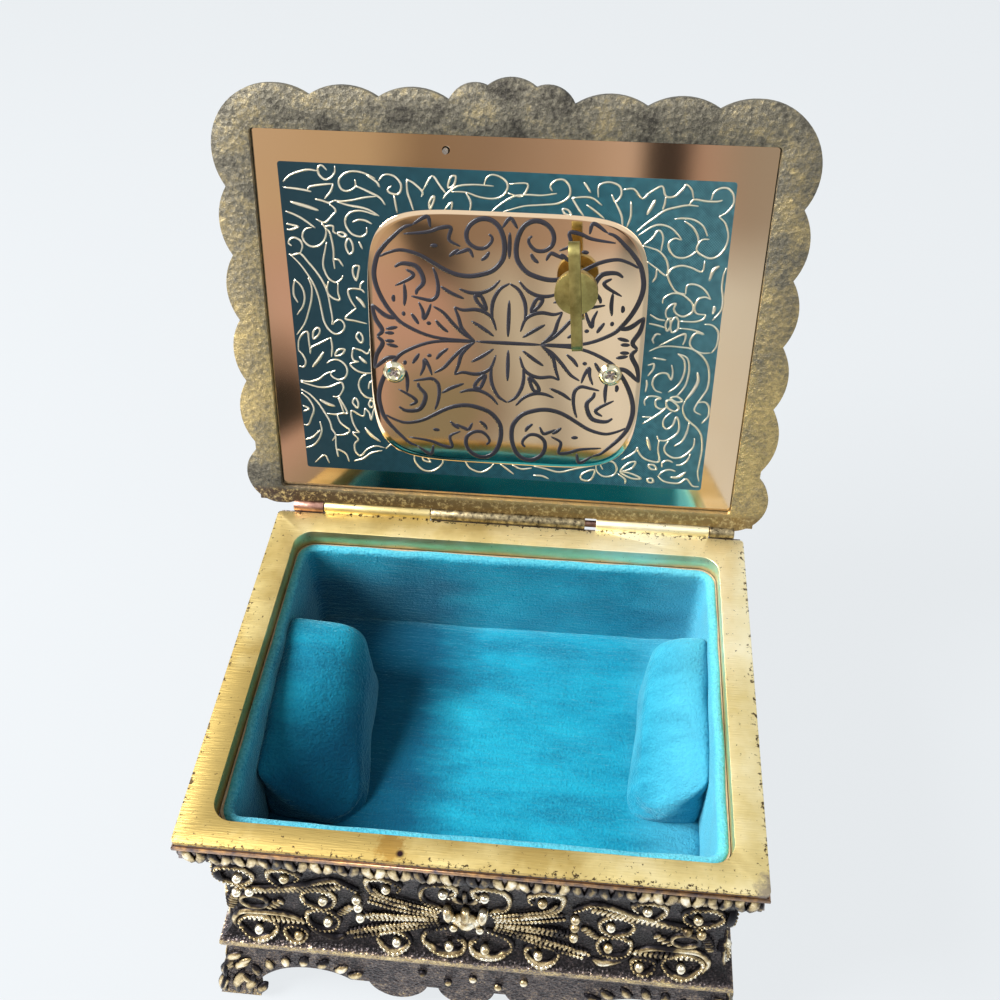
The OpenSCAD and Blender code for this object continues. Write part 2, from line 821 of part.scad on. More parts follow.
module stop_wire() {
    reach = finger_at - wire_at;
    color("silver") in_lid() {
        post(wire_at[0], wire_at[1], -wire_out, finger_w + finger_r, wire_r);
        post(wire_at[0], wire_at[1], collar_w[0], collar_w[1], 1.2);
        translate([wire_at[0], wire_at[1], finger_w]) rotate(atan2(reach[1], reach[0]))
            rotate([0, 90, 0]) cylinder(h = norm(reach), r = finger_r);
    }
}

casket_body();
rim_frame();
hinge_pin();
bottom_plate();
bottom_screws();
card_tray();
floor_wadding();
lining_floor();
lining_front();
lining_back();
lining_left();
lining_right();
bolster_left();
bolster_right();
lid_shell();
mirror_plate();
movement_screws();
bedplate();
comb();
comb_screws();
governor_bracket();
governor_screws();
wire_guide();
wire_spring();
winding_key();
winding_arbor();
spring_barrel();
barrel_cap();
mainspring();
pinned_drum();
drum_pinion();
drum_wheel();
second_arbor();
worm_wheel();
governor_worm();
air_fan();
stop_wire();
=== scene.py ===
# %% [markdown]
# # A musical keepsake casket
# This lesson dresses a finished CAD model. The real object is a small gilt box of cast metal with
# a velvet lined well. Its lid stands open and carries a winding key in front of a printed mirror
# plate. The CAD model gives every size and every joint, so the work here is on looks alone.

# %% Load the frame
import math

import bmesh
import bpy
from mathutils import Matrix, Vector, noise


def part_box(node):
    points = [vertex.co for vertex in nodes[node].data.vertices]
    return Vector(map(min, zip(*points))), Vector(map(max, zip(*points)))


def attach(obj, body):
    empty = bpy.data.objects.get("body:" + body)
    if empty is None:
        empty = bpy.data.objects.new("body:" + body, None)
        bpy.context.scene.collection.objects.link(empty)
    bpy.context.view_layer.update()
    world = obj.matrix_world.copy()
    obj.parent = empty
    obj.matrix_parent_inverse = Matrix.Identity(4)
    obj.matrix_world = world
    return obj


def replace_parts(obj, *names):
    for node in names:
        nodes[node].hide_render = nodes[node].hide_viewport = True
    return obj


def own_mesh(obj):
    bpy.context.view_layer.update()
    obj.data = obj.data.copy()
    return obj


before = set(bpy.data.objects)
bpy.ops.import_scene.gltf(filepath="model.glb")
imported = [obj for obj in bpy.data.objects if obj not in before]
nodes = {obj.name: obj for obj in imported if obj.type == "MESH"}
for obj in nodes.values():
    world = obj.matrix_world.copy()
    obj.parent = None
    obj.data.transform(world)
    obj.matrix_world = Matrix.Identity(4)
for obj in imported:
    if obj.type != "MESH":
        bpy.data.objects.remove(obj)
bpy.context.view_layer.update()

MM = 0.001

# %% [markdown]
# ## Where the lid is
# Everything on the lid is drawn flat, in millimetres: u runs to the right, v away from the hinge
# and w into the lid, with the plate's bright face at w = 0. One matrix then stands the drawing up
# at the angle of the open lid. It turns a left handed drawing into a right handed room, so faces
# made this way have their normals worked out again.

# %% Lid matrix
# The sine and cosine of the 16.75 degrees by which the open lid leans back, and the place of the
# middle of the plate's edge by the hinge, in mm.
LID_UP = Vector((0, 0.2881963, 0.9575714))
LID_IN = Vector((0, 0.9575714, -0.2881963))
PLATE_FOOT = Vector((-1.2, 43.707, 70.1573))
PLATE_FAR_EDGE = 76.95
LID = (
    Matrix.Translation(PLATE_FOOT * MM)
    @ Matrix((Vector((1, 0, 0)), LID_UP, LID_IN)).transposed().to_4x4()
    @ Matrix.Scale(MM, 4)
)
far_edge = LID @ Vector((0, PLATE_FAR_EDGE, 0))
print("plate's far edge is at height", round(far_edge.z / MM, 1), "mm")

# %% [markdown]
# ## Where the walls are
# The four walls share one profile, so the ornament is drawn once on a flat wall: s to the right,
# z up and h out from the metal. Each point is then pushed in by the profile's inset at its height
# and turned to its side of the box.

# %% Wall placing
# The profile is pairs of height and inset. A side is its turn in degrees and how far from the
# middle the rim's outline lies there.
PROFILE = [
    (0, -3), (2, -2.4), (5, -1.5), (10, -0.4), (15.5, 0.6), (18.3, 1), (19, 0), (20.2, -0.2),
    (21.4, 0), (22.1, 1.2), (24, 2.5), (31, 3.6), (39.7, 4), (47, 3.8), (56, 3.2), (57.2, 2.6),
    (58, 0.4), (58.6, 0.1), (61, 0.4), (63.4, 0.6),
]
SIDES = {"front": (0, 40), "right": (90, 52), "back": (180, 40), "left": (270, 52)}


def inset(height):
    """How far the wall's face lies inside the rim's outline at this height."""
    for (z0, i0), (z1, i1) in zip(PROFILE, PROFILE[1:]):
        if height <= z1:
            return i0 + (i1 - i0) * max(0, height - z0) / (z1 - z0)
    return PROFILE[-1][1]


def on_wall(side):
    """A function that takes a drawing point (s, z, h) in mm to its place on that wall."""
    angle, reach = SIDES[side]
    turn = Matrix.Rotation(math.radians(angle), 3, "Z")
    return lambda p: turn @ Vector((p.x, -reach + inset(p.y) - p.z, p.y)) * MM


def on_lid(p):
    """Takes a drawing point (u, v, w) in mm to its place on the open lid."""
    return LID @ p


print("wall face at half height is", round(inset(39.7), 1), "mm inside the rim")

# %% [markdown]
# ## Tools for pieces
# A piece starts as a bmesh in drawing millimetres. One function places it, closes it, turns its
# faces outwards, makes the object and hangs it on its body. Ornament also keeps how far each point
# stood out from the metal, because polish reaches only the high places and tarnish stays low.

# %% From bmesh to piece
def show(made):
    """Puts an object into the scene."""
    bpy.context.scene.collection.objects.link(made)
    return made


def piece(name, bm, body, finish, place=None, relief=0, smooth=True):
    """Makes the object. relief is the height in mm that counts as fully raised."""
    if relief:
        raised = bm.verts.layers.float.new("raised")
        for vert in bm.verts:
            vert[raised] = min(1, max(0, vert.co.z / relief))
    if place:
        for vert in bm.verts:
            vert.co = place(vert.co)
    bmesh.ops.remove_doubles(bm, verts=bm.verts, dist=1e-7)
    bmesh.ops.recalc_face_normals(bm, faces=bm.faces)
    mesh = bpy.data.meshes.new(name)
    bm.to_mesh(mesh)
    bm.free()
    mesh.polygons.foreach_set("use_smooth", [smooth] * len(mesh.polygons))
    mesh.materials.append(finish)
    made = show(bpy.data.objects.new(name, mesh))
    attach(made, body)
    print(name, len(mesh.polygons), "faces")
    return made


# %% Strokes
def smooth_line(points, steps=5):
    """A smooth curve through the points, as more points."""
    closed = points[0] == points[-1]
    pts = [Vector((*p, 0)[:3]) for p in points]
    before = [pts[-2] if closed else 2 * pts[0] - pts[1]] + pts
    after = pts + [pts[1] if closed else 2 * pts[-1] - pts[-2]]
    line = []
    for i in range(len(pts) - 1):
        p0, p1, p2, p3 = before[i], pts[i], pts[i + 1], after[i + 2]
        for k in range(steps):
            t = k / steps
            line.append(
                0.5 * (2 * p1 + (p2 - p0) * t + (2 * p0 - 5 * p1 + 4 * p2 - p3) * t * t
                       + (3 * p1 - p0 - 3 * p2 + p3) * t ** 3)
            )
    return line + [pts[-1]]


def strokes(lines, half, taper=0.3, flat=1.0, round_=1, steps=5):
    """Smooth tapered strokes as a bmesh.

    half is half the width, taper is the share of it that is left at the ends, and flat squeezes
    the height.
    """
    curve = bpy.data.curves.new("strokes", "CURVE")
    curve.dimensions = "3D"
    curve.twist_mode = "Z_UP"
    curve.bevel_depth = half
    curve.bevel_resolution = round_
    curve.use_fill_caps = True
    for points in lines:
        line = smooth_line(points, steps)
        closed = points[0] == points[-1]
        if closed:
            line = line[:-1]
        spline = curve.splines.new("POLY")
        spline.points.add(len(line) - 1)
        spline.use_cyclic_u = closed
        for i, (point, knot) in enumerate(zip(line, spline.points)):
            knot.co = (*point, 1)
            swell = 1 if closed else math.sqrt(max(0, math.sin(math.pi * i / (len(line) - 1))))
            knot.radius = taper + (1 - taper) * swell
    holder = show(bpy.data.objects.new("strokes", curve))
    graph = bpy.context.evaluated_depsgraph_get()
    mesh = bpy.data.meshes.new_from_object(holder.evaluated_get(graph))
    bm = bmesh.new()
    bm.from_mesh(mesh)
    bmesh.ops.scale(bm, vec=(1, 1, flat), verts=bm.verts)
    bpy.data.objects.remove(holder)
    bpy.data.curves.remove(curve)
    bpy.data.meshes.remove(mesh)
    return bm


def merge(target, source, matrix=Matrix.Identity(4)):
    """Adds one bmesh to another."""
    bmesh.ops.transform(source, matrix=matrix, verts=source.verts)
    mesh = bpy.data.meshes.new("part")
    source.to_mesh(mesh)
    source.free()
    target.from_mesh(mesh)
    bpy.data.meshes.remove(mesh)
    return target


def mirrored(lines, middle=0):
    """The lines and their mirror images left of the middle."""
    return lines + [[(2 * middle - x, *rest) for x, *rest in line] for line in lines]


def balls(bm, places, radius, height, detail=1):
    """Small balls at these places. They are made a few at a time, which is much quicker."""
    at_a_time = 24
    for first in range(0, len(places), at_a_time):
        few = bmesh.new()
        for place in places[first:first + at_a_time]:
            at = Matrix.Translation(place) @ Matrix.Diagonal((1, 1, height, 1))
            bmesh.ops.create_icosphere(few, subdivisions=detail, radius=radius, matrix=at)
        merge(bm, few)


def beads_along(bm, lines, step, radius, height, lift=0.0):
    """Rows of small beads along smooth lines. A bead has only twenty faces."""
    places = []
    for points in lines:
        line = smooth_line(points, 8)
        left = step / 2
        for a, b in zip(line, line[1:]):
            span = (b - a).length
            while left <= span:
                at = a.lerp(b, left / span)
                places.append(Vector((at.x, at.y, at.z + lift)))
                left += step
            left -= span
    balls(bm, places, radius, height)


def pearls(bm, places, radius, height, lift):
    """Round pegs that stand out from the wall."""
    balls(bm, [Vector((x, y, lift)) for x, y in places], radius, height, detail=2)


print("strokes, beads and pearls are ready")

# %% [markdown]
# ## Colours and nodes
# Colours are written as the hex values that a paint program shows, and one function turns them
# into the linear values that a shader needs. One function adds any node, and one links finished
# patterns to a shader. Patterns are sized in millimetres: the Object coordinate is in metres, so it
# is first multiplied by a thousand, and a scale of 1 / 7 then repeats every 7 mm.

# %% Colour and node functions
def linear(code):
    """An sRGB hex colour as linear RGBA."""
    parts = [int(code[i:i + 2], 16) / 255 for i in (1, 3, 5)]
    return (*[c / 12.92 if c <= 0.04045 else ((c + 0.055) / 1.055) ** 2.4 for c in parts], 1)


def output(value):
    """The socket itself, or a node's first output that its settings leave in use."""
    if isinstance(value, bpy.types.Node):
        return next(socket for socket in value.outputs if socket.enabled)
    return value


def add(tree, kind, inputs=None, stops=(), **settings):
    """Adds a node. An input that is a node or a socket is linked, and any other value is set."""
    node = tree.nodes.new("ShaderNode" + kind)
    for name, value in settings.items():
        setattr(node, name, value)
    for i, (at, colour) in enumerate(stops):
        ramp = node.color_ramp.elements
        stop = ramp[i] if i < 2 else ramp.new(at)
        stop.position = at
        stop.color = linear(colour)
    for name, value in (inputs or {}).items():
        value = output(value)
        if isinstance(value, bpy.types.NodeSocket):
            tree.links.new(value, node.inputs[name])
        elif isinstance(value, str):
            node.inputs[name].default_value = linear(value)
        else:
            node.inputs[name].default_value = value
    return node


def finish(name, **shader):
    """A material with its node tree, its shader and its Object coordinate in millimetres."""
    made = bpy.data.materials.new(name)
    made.use_nodes = True
    tree = made.node_tree
    tree.nodes.clear()
    inputs = {key.replace("_", " "): value for key, value in shader.items()}
    principled = add(tree, "BsdfPrincipled", inputs)
    add(tree, "OutputMaterial", {"Surface": principled})
    place = add(tree, "TexCoord").outputs["Object"]
    in_mm = add(tree, "VectorMath", {0: place, 1: (1000, 1000, 1000)}, operation="MULTIPLY")
    return made, tree, principled, in_mm


def dress(shader, colour, rough=None, bump=None):
    """Links the finished patterns to the shader's inputs."""
    for name, value in (("Base Color", colour), ("Roughness", rough), ("Normal", bump)):
        if value is not None:
            shader.id_data.links.new(output(value), shader.inputs[name])


print("sRGB mid grey in linear light is", round(linear("#808080")[0], 3))

# %% [markdown]
# ## Camera
# The photograph looks down into the open box from the front. The camera's place was worked out
# from the corners of the rim and of the plate, whose sizes the CAD model gives.

# %% Camera
camera = show(bpy.data.objects.new("camera", bpy.data.cameras.new("camera")))
camera.location = (0.01585, -0.1202, 0.24145)
camera.rotation_euler = (0.7631, 0.0106, 0.0969)
camera.data.lens = 38.557
camera.data.sensor_width = 36
camera.data.clip_start = 0.005
bpy.context.scene.camera = camera
bpy.context.scene.view_settings.view_transform = "Standard"
print("camera height", round(camera.location.z / MM), "mm")

# %% [markdown]
# ## Floor and light
# The box stands on a pale table under soft daylight, stronger from the left. The camera itself sees
# table and backdrop as plain pale light, so they stay even while the table keeps its shadow.

# %% Scenery tools
def staged(name, bm, paint):
    """Scenery from a bmesh in metres. It isn't part of the object."""
    mesh = bpy.data.meshes.new(name)
    bm.to_mesh(mesh)
    bm.free()
    mesh.materials.append(paint)
    made = show(bpy.data.objects.new(name, mesh))
    return made


def seen_as(tree, surface, colour, share, glossy=False):
    """Mixes a surface with plain light of this colour, for what the camera itself sees."""
    ray = add(tree, "LightPath")
    seen = ray.outputs["Is Camera Ray"]
    if glossy:
        seen = add(tree, "Math", {0: seen, 1: ray.outputs["Is Glossy Ray"]}, operation="MAXIMUM")
    part = add(tree, "Math", {0: seen, 1: share}, operation="MULTIPLY")
    kind = "Background" if glossy else "Emission"
    plain = add(tree, kind, {"Color": colour, "Strength": 1.0})
    return add(tree, "MixShader", {0: part, 1: surface, 2: plain})


print("the camera sees table and backdrop by their own light")

# %% Table
# White painted board, rolled matt: pale and without any gloss, with faint clouds.
table_paint, tree, shader, place = finish("matt_white_table", Roughness=0.9)
cloudy = add(tree, "TexNoise", {"Vector": place, "Scale": 1 / 90, "Detail": 1.0})
pale = add(tree, "Mix", {0: cloudy, 6: "#D3D7DC", 7: "#DCE0E4"}, data_type="RGBA")
dress(shader, pale)
surface = seen_as(tree, shader, "#EBEFF2", 0.93)
tree.links.new(surface.outputs[0], tree.nodes["Material Output"].inputs["Surface"])
bm = bmesh.new()
bmesh.ops.create_grid(bm, x_segments=1, y_segments=1, size=4)
staged("table", bm, table_paint)
print("an 8 m square of table")

# %% Daylight and lamps
world = bpy.data.worlds.new("daylight")
world.use_nodes = True
tree = world.node_tree
tree.nodes.clear()
sky = add(tree, "Background", {"Color": "#E4ECF5", "Strength": 0.27})
surface = seen_as(tree, sky, "#EDF0F3", 1.0, glossy=True)
add(tree, "OutputWorld", {"Surface": surface})
bpy.context.scene.world = world

LIT_POINT = Vector((0, 0, 0.06))
for name, at, size, power in (
    ("window_light", (-0.50, -0.10, 0.52), 0.30, 12.0),
    ("fill_light", (0.50, -0.35, 0.60), 0.50, 1.3),
):
    lamp = bpy.data.lights.new(name, "AREA")
    lamp.size = size
    lamp.energy = power
    holder = show(bpy.data.objects.new(name, lamp))
    holder.location = at
    holder.rotation_euler = (LIT_POINT - Vector(at)).to_track_quat("-Z", "Y").to_euler()
print("daylight and two soft lamps")

# %% [markdown]
# ## What the mirror sees
# A mirror shows what stands in front of it, so a card stands there that only reflections see. It
# glows by itself and is painted reflection: two bands of uneven colour, one over the other, as the
# room was. Over them lie a dark patch, a brown shadow, a dark corner and a bright window above,
# painted shade and light for the metals to mirror. Its foot runs along the table.

# %% Card that the mirror sees
# A glowing card that only reflections see: painted reflection, from which the gilt plate takes its
# copper, cream and dark bands.
CARD_EDGE = 0.25
reflection_card_paint = bpy.data.materials.new("painted_reflection_card")
reflection_card_paint.use_nodes = True
tree = reflection_card_paint.node_tree
tree.nodes.clear()
apart = add(tree, "SeparateXYZ", {0: add(tree, "TexCoord").outputs["Object"]}).outputs
x, up = apart["X"], apart["Z"]
slant = add(tree, "Math", {0: up, 1: 0.25, 2: x}, operation="MULTIPLY_ADD")
bands = []
for across, stops in (
    (slant, [(0.0, "#A39A90"), (1.0, "#BCC3C5"), (0.12, "#CBAFA6"), (0.34, "#BFA198"),
             (0.40, "#958D84"), (0.44, "#B4B4AE"), (0.47, "#CDD0CC"), (0.50, "#ABABA7"),
             (0.54, "#D8DCDA"), (0.62, "#EAF0F2")]),
    (x, [(0.0, "#CDBBA6"), (1.0, "#ACB4B5"), (0.2, "#C4B298"), (0.28, "#93806C"),
         (0.38, "#98877A"), (0.5, "#B3A093"), (0.575, "#CDBAB0"), (0.60, "#3A3433"),
         (0.64, "#332E2E"), (0.67, "#B79F95"), (0.73, "#A39C96")]),
):
    along = add(tree, "MapRange", {"Value": across, "From Min": -CARD_EDGE, "From Max": CARD_EDGE})
    bands.append(add(tree, "ValToRGB", {"Fac": along}, stops=stops))
reflected_room, high_band = bands
# Each thing laid over the card is a colour and the edges that bound it: where the edge lies, and
# the two values between which the colour comes in.
# The dark patch, brown shadow and dark corner are painted shade, and the bright window is painted
# light, all seen only in reflections.
for colour, edges in (
    (high_band, [(up, 0.10, 0.15)]),
    ("#4A4542", [(slant, -0.10, -0.085), (slant, -0.045, -0.06), (up, 0.178, 0.168),
                 (up, 0.095, 0.125)]),
    ("#918C78", [(slant, -0.17, -0.11), (slant, -0.056, -0.064), (up, 0.06, 0.02)]),
    ("#302E2B", [(slant, -0.17, -0.19), (up, 0.07, 0.02)]),
    ("#FBFDFF", [(up, 0.27, 0.32)]),
):
    share = None
    for value, start, end in edges:
        step = add(tree, "MapRange", {"Value": value, "From Min": start, "From Max": end})
        if share is not None:
            step = add(tree, "Math", {0: share, 1: step}, operation="MULTIPLY")
        share = step
    reflected_room = add(tree, "Mix", {0: share, 6: reflected_room, 7: colour}, data_type="RGBA")
glow = add(tree, "Emission", {"Color": reflected_room, "Strength": 1.0})
add(tree, "OutputMaterial", {"Surface": glow})

bm = bmesh.new()
bmesh.ops.create_grid(bm, x_segments=1, y_segments=1, size=1)
bmesh.ops.scale(bm, vec=(1.2, 0.5, 1), verts=bm.verts)
bmesh.ops.rotate(bm, matrix=Matrix.Rotation(math.radians(90), 3, "X"), verts=bm.verts)
bmesh.ops.translate(bm, vec=(0, -0.5, 0.5), verts=bm.verts)
bottom = [e for e in bm.edges if all(v.co.z < 0.1 for v in e.verts)]
foot = bmesh.ops.extrude_edge_only(bm, edges=bottom)["geom"]
for vert in [g for g in foot if isinstance(g, bmesh.types.BMVert)]:
    vert.co = (vert.co.x, -0.2, 0.001)
card = staged("painted_reflection_card", bm, reflection_card_paint)
card.visible_camera = card.visible_diffuse = card.visible_shadow = False
card.visible_transmission = card.visible_volume_scatter = False
print("card stands half a metre in front of the box")

# %% [markdown]
# ## Antique gilt casting
# The body is a soft metal casting. It was gilt, dipped in a dark wash and rubbed, so the wash
# stays in every hollow and the gold comes back on what stands out. Ornament knows its own height,
# and the plain walls take their gold from the height above the table, where hands and cloths reach.

# %% Rubbed gilt for the ornament
# Gilt soft metal, dipped dark and rubbed: black in the hollows, pale gold on every bead and ridge,
# with duller patches where fewer hands have been.
rubbed_gilt, tree, shader, place = finish("rubbed_gilt_casting", Metallic=0.85)
raised = add(tree, "Attribute", attribute_name="raised").outputs["Fac"]
blotch = add(tree, "TexNoise", {"Vector": place, "Scale": 1 / 2.2, "Detail": 4.0,
                                "Roughness": 0.65})
patchy = add(tree, "TexNoise", {"Vector": place, "Scale": 1 / 7, "Detail": 3.0, "Roughness": 0.6})
handled = add(tree, "MapRange", {"Value": patchy, "From Min": 0.3, "From Max": 0.7,
                                 "To Min": -0.42, "To Max": 0.3})
polish = add(tree, "Math", {0: raised, 1: blotch}, operation="ADD")
polish = add(tree, "Math", {0: polish, 1: handled}, operation="ADD")
worn = add(tree, "MapRange", {"Value": polish, "From Min": 0.6, "From Max": 1.55})
tone = add(
    tree, "ValToRGB", {"Fac": worn},
    stops=[(0.0, "#141217"), (1.0, "#F7F0DC"), (0.34, "#302A28"), (0.5, "#85724F"),
           (0.72, "#CDB88C")],
)
rough = add(tree, "MapRange", {"Value": worn, "To Min": 0.5, "To Max": 0.14})
grain = add(tree, "TexNoise", {"Vector": place, "Scale": 1 / 0.35, "Detail": 3.0})
bump = add(tree, "Bump", {"Height": grain, "Distance": 0.1 * MM, "Strength": 0.6})
dress(shader, tone, rough, bump)
print("gold on the high places, dark wash in the low ones")

# %% Blackened casting for the plain walls
# The same casting where nothing stands out: sooty and sandy, with gold only on ledges, and a
# cornice of bare pewter above.
WALL_TOP = 65.0
CORNICE = (57.4, 57.8)
blackened, tree, shader, place = finish("blackened_gilt_casting", Metallic=0.75)
up = add(tree, "SeparateXYZ", {0: place}).outputs["Z"]
rub = add(
    tree, "ValToRGB",
    {"Fac": add(tree, "MapRange", {"Value": up, "From Min": 0.0, "From Max": WALL_TOP})},
    stops=[(0.0, "#D0D0D0"), (1.0, "#8A8A8A"), (0.05, "#B4B4B4"), (0.16, "#A2A2A2"),
           (0.28, "#A8A8A8"),
           (0.30, "#DADADA"), (0.327, "#E0E0E0"), (0.335, "#787878"), (0.86, "#707070"),
           (0.895, "#B4B4B4"), (0.93, "#9A9A9A")],
)
blotch = add(tree, "TexNoise", {"Vector": place, "Scale": 1 / 3.2, "Detail": 5.0, "Roughness": 0.7})
fine = add(tree, "TexNoise", {"Vector": place, "Scale": 1 / 0.55, "Detail": 4.0, "Roughness": 0.8})
grains = add(tree, "MapRange", {"Value": fine, "From Min": 0.3, "From Max": 0.7,
                                "To Min": -0.32, "To Max": 0.32})
polish = add(tree, "Math", {0: rub, 1: blotch}, operation="ADD")
polish = add(tree, "Math", {0: polish, 1: grains}, operation="ADD")
worn = add(tree, "MapRange", {"Value": polish, "From Min": 0.62, "From Max": 1.5})
tone = add(
    tree, "ValToRGB", {"Fac": worn},
    stops=[(0.0, "#1A1718"), (1.0, "#E6D199"), (0.25, "#3A3334"), (0.5, "#6F625A"),
           (0.75, "#B59C6C")],
)
pewter = add(tree, "Mix", {0: blotch, 6: "#6A5E60", 7: "#A6988E"}, data_type="RGBA")
cornice = add(tree, "MapRange", {"Value": up, "From Min": CORNICE[0], "From Max": CORNICE[1]})
tone = add(tree, "Mix", {0: cornice, 6: tone, 7: pewter}, data_type="RGBA")
rough = add(tree, "MapRange", {"Value": worn, "To Min": 0.45, "To Max": 0.28})
sand = add(tree, "TexVoronoi", {"Vector": place, "Scale": 1 / 0.7})
pits = add(tree, "TexNoise", {"Vector": place, "Scale": 1 / 1.5, "Detail": 5.0})
both = add(tree, "Math", {0: sand, 1: pits}, operation="ADD")
bump = add(tree, "Bump", {"Height": both, "Distance": 0.3 * MM, "Strength": 1.0})
dress(shader, tone, rough, bump)
print("sand cast grain of 0.7 mm")

# %% [markdown]
# ## Satin gilt rim
# The rim is a plain stamped border, gilt and then worn by the lid and by fingers, so its gold is
# paler to the right and the back. It has fine scratches, small dark specks where the gilding has
# gone, a brown stain with a dark dot at the front, and a grey patch at one corner. Its outer edge
# shows a dark seam over a copper band.

# %% Satin gilt
# Gilt brass, brushed: a soft yellow shine drawn out along the border, with flaws that look brown.
OUTER_EDGE = (51.2, 39.2, 0)
STAIN_AT, DOT_AT, PATCH_AT = (-13.4, -37.6, 65.0), (-11.4, -38.4, 65.0), (52.5, -39.2, 64.0)
satin_gilt, tree, shader, place = finish("satin_gilt_rim", Metallic=0.92)
up = add(tree, "SeparateXYZ", {0: place}).outputs["Z"]
broad = add(tree, "TexNoise", {"Vector": place, "Scale": 1 / 14, "Detail": 4.0, "Roughness": 0.6})
across = add(tree, "VectorMath", {0: place, 1: (0.004, 0.0045, 0)}, operation="DOT_PRODUCT")
rubbed = add(tree, "Math", {0: broad, 1: across}, operation="ADD")
gold = add(
    tree, "ValToRGB", {"Fac": rubbed},
    stops=[(0.25, "#B99F5E"), (0.95, "#FCF3D0"), (0.5, "#DCC88A"), (0.75, "#F2E4B4")],
)
speck = add(tree, "TexNoise", {"Vector": place, "Scale": 1 / 0.8, "Detail": 3.0, "Roughness": 0.7})
aside = add(tree, "VectorMath", {0: place}, operation="ABSOLUTE")
beyond = add(tree, "VectorMath", {0: aside, 1: OUTER_EDGE}, operation="SUBTRACT")
past = add(tree, "SeparateXYZ", {0: beyond}).outputs
outer = add(tree, "Math", {0: past["X"], 1: past["Y"]}, operation="MAXIMUM")
chips = add(tree, "MapRange", {"Value": outer, "From Min": -0.6, "From Max": 0.8, "To Max": 0.12})
flush = add(tree, "MapRange", {"Value": up, "From Min": 65.3, "From Max": 65.1})
chips = add(tree, "Math", {0: chips, 1: flush}, operation="MULTIPLY")
dark = add(tree, "Math", {0: speck, 1: chips}, operation="ADD")
specks = add(tree, "MapRange", {"Value": dark, "From Min": 0.65, "From Max": 0.70})
tone = add(tree, "Mix", {0: specks, 6: gold, 7: "#4A3B28"}, data_type="RGBA")
edge = add(
    tree, "ValToRGB",
    {"Fac": add(tree, "MapRange", {"Value": up, "From Min": 63.2, "From Max": 65.2})},
    stops=[(0.0, "#B98A5A"), (1.0, "#FFFFFF"), (0.26, "#B58350"), (0.34, "#2C231F"),
           (0.44, "#2C231F"),
           (0.52, "#E8D6A8"), (0.86, "#FFFFFF")],
)
outside = add(tree, "MapRange", {"Value": outer, "From Min": 0.3, "From Max": 0.6})
tone = add(tree, "Mix", {0: outside, 6: tone, 7: edge}, data_type="RGBA", blend_type="MULTIPLY")
blot = add(tree, "TexNoise", {"Vector": place, "Scale": 1 / 2.0, "Detail": 4.0, "Roughness": 0.7})
# A flaw is a spot at a place, whose edge the noise tears by some millimetres.
for at, torn, fades, share, colour in (
    (STAIN_AT, 7.0, (6.6, 5.4), 0.8, "#A07A38"),
    (DOT_AT, 0, (0.9, 0.4), 1.0, "#2B1A1E"),
    (PATCH_AT, 6.0, (6.6, 5.0), 0.8, "#857A70"),
):
    away = add(tree, "VectorMath", {0: place, 1: at}, operation="DISTANCE")
    if torn:
        away = add(tree, "Math", {0: blot, 1: torn, 2: away}, operation="MULTIPLY_ADD")
    flaw = add(tree, "MapRange", {"Value": away, "From Min": fades[0], "From Max": fades[1],
                                  "To Max": share})
    tone = add(tree, "Mix", {0: flaw, 6: tone, 7: colour}, data_type="RGBA")
stretch = add(tree, "Mapping", {"Vector": place, "Scale": (0.25, 4.0, 1.0)})
scratch = add(tree, "TexNoise", {"Vector": stretch, "Scale": 1 / 1.2, "Detail": 4.0})
rough = add(tree, "MapRange", {"Value": scratch, "To Min": 0.28, "To Max": 0.5})
ripple = add(tree, "Math", {0: scratch, 1: broad}, operation="ADD")
bump = add(tree, "Bump", {"Height": ripple, "Distance": 0.12 * MM, "Strength": 0.5})
dress(shader, tone, rough, bump)
print("scratches of about 5 mm along the rim")

# %% [markdown]
# ## Oxidised brass lid
# The lid's border is hammered and grainy. Brass shows on the left and below, and it has gone grey
# and black along the top, where it has been handled most.

# %% Oxidised brass
# Hammered brass, oxidised by age: a dull grey skin with a cool, broken shine and warm worn places.
oxidised, tree, shader, place = finish("oxidised_hammered_brass", Metallic=0.85)
apart = add(tree, "SeparateXYZ", {0: place}).outputs
x, up = apart["X"], apart["Z"]
broad = add(tree, "TexNoise", {"Vector": place, "Scale": 1 / 7, "Detail": 6.0, "Roughness": 0.7})
height = add(tree, "MapRange", {"Value": up, "From Min": 90.0, "From Max": 158.0,
                                "To Min": -0.04, "To Max": 0.17})
fine = add(tree, "TexNoise", {"Vector": place, "Scale": 1 / 0.9, "Detail": 4.0, "Roughness": 0.75})
grains = add(tree, "MapRange", {"Value": fine, "To Min": -0.2, "To Max": 0.2})
softer = add(tree, "MapRange", {"Value": broad, "To Min": 0.22, "To Max": 0.76})
worn = add(tree, "Math", {0: softer, 1: grains}, operation="ADD")
age = add(tree, "Math", {0: worn, 1: height}, operation="ADD")
low = add(tree, "MapRange", {"Value": up, "From Min": 86.0, "From Max": 74.0, "To Max": 0.2})
left = add(tree, "MapRange", {"Value": x, "From Min": -20.0, "From Max": -48.0})
age = add(tree, "Math", {0: low, 1: left, 2: age}, operation="MULTIPLY_ADD")
tone = add(
    tree, "ValToRGB", {"Fac": age},
    stops=[(0.3, "#C9B27A"), (0.74, "#3B3833"), (0.42, "#B5A06E"), (0.52, "#8F8263"),
           (0.62, "#6C675A")],
)
along = add(tree, "MapRange", {"Value": x, "From Min": -50.0, "From Max": 10.0})
foot = add(tree, "Mix", {0: along, 6: "#4E4036", 7: "#8C754C"}, data_type="RGBA")
speck = add(tree, "MapRange", {"Value": fine, "From Min": 0.5, "From Max": 0.66})
foot = add(tree, "Mix", {0: speck, 6: foot, 7: "#C8B27E"}, data_type="RGBA")
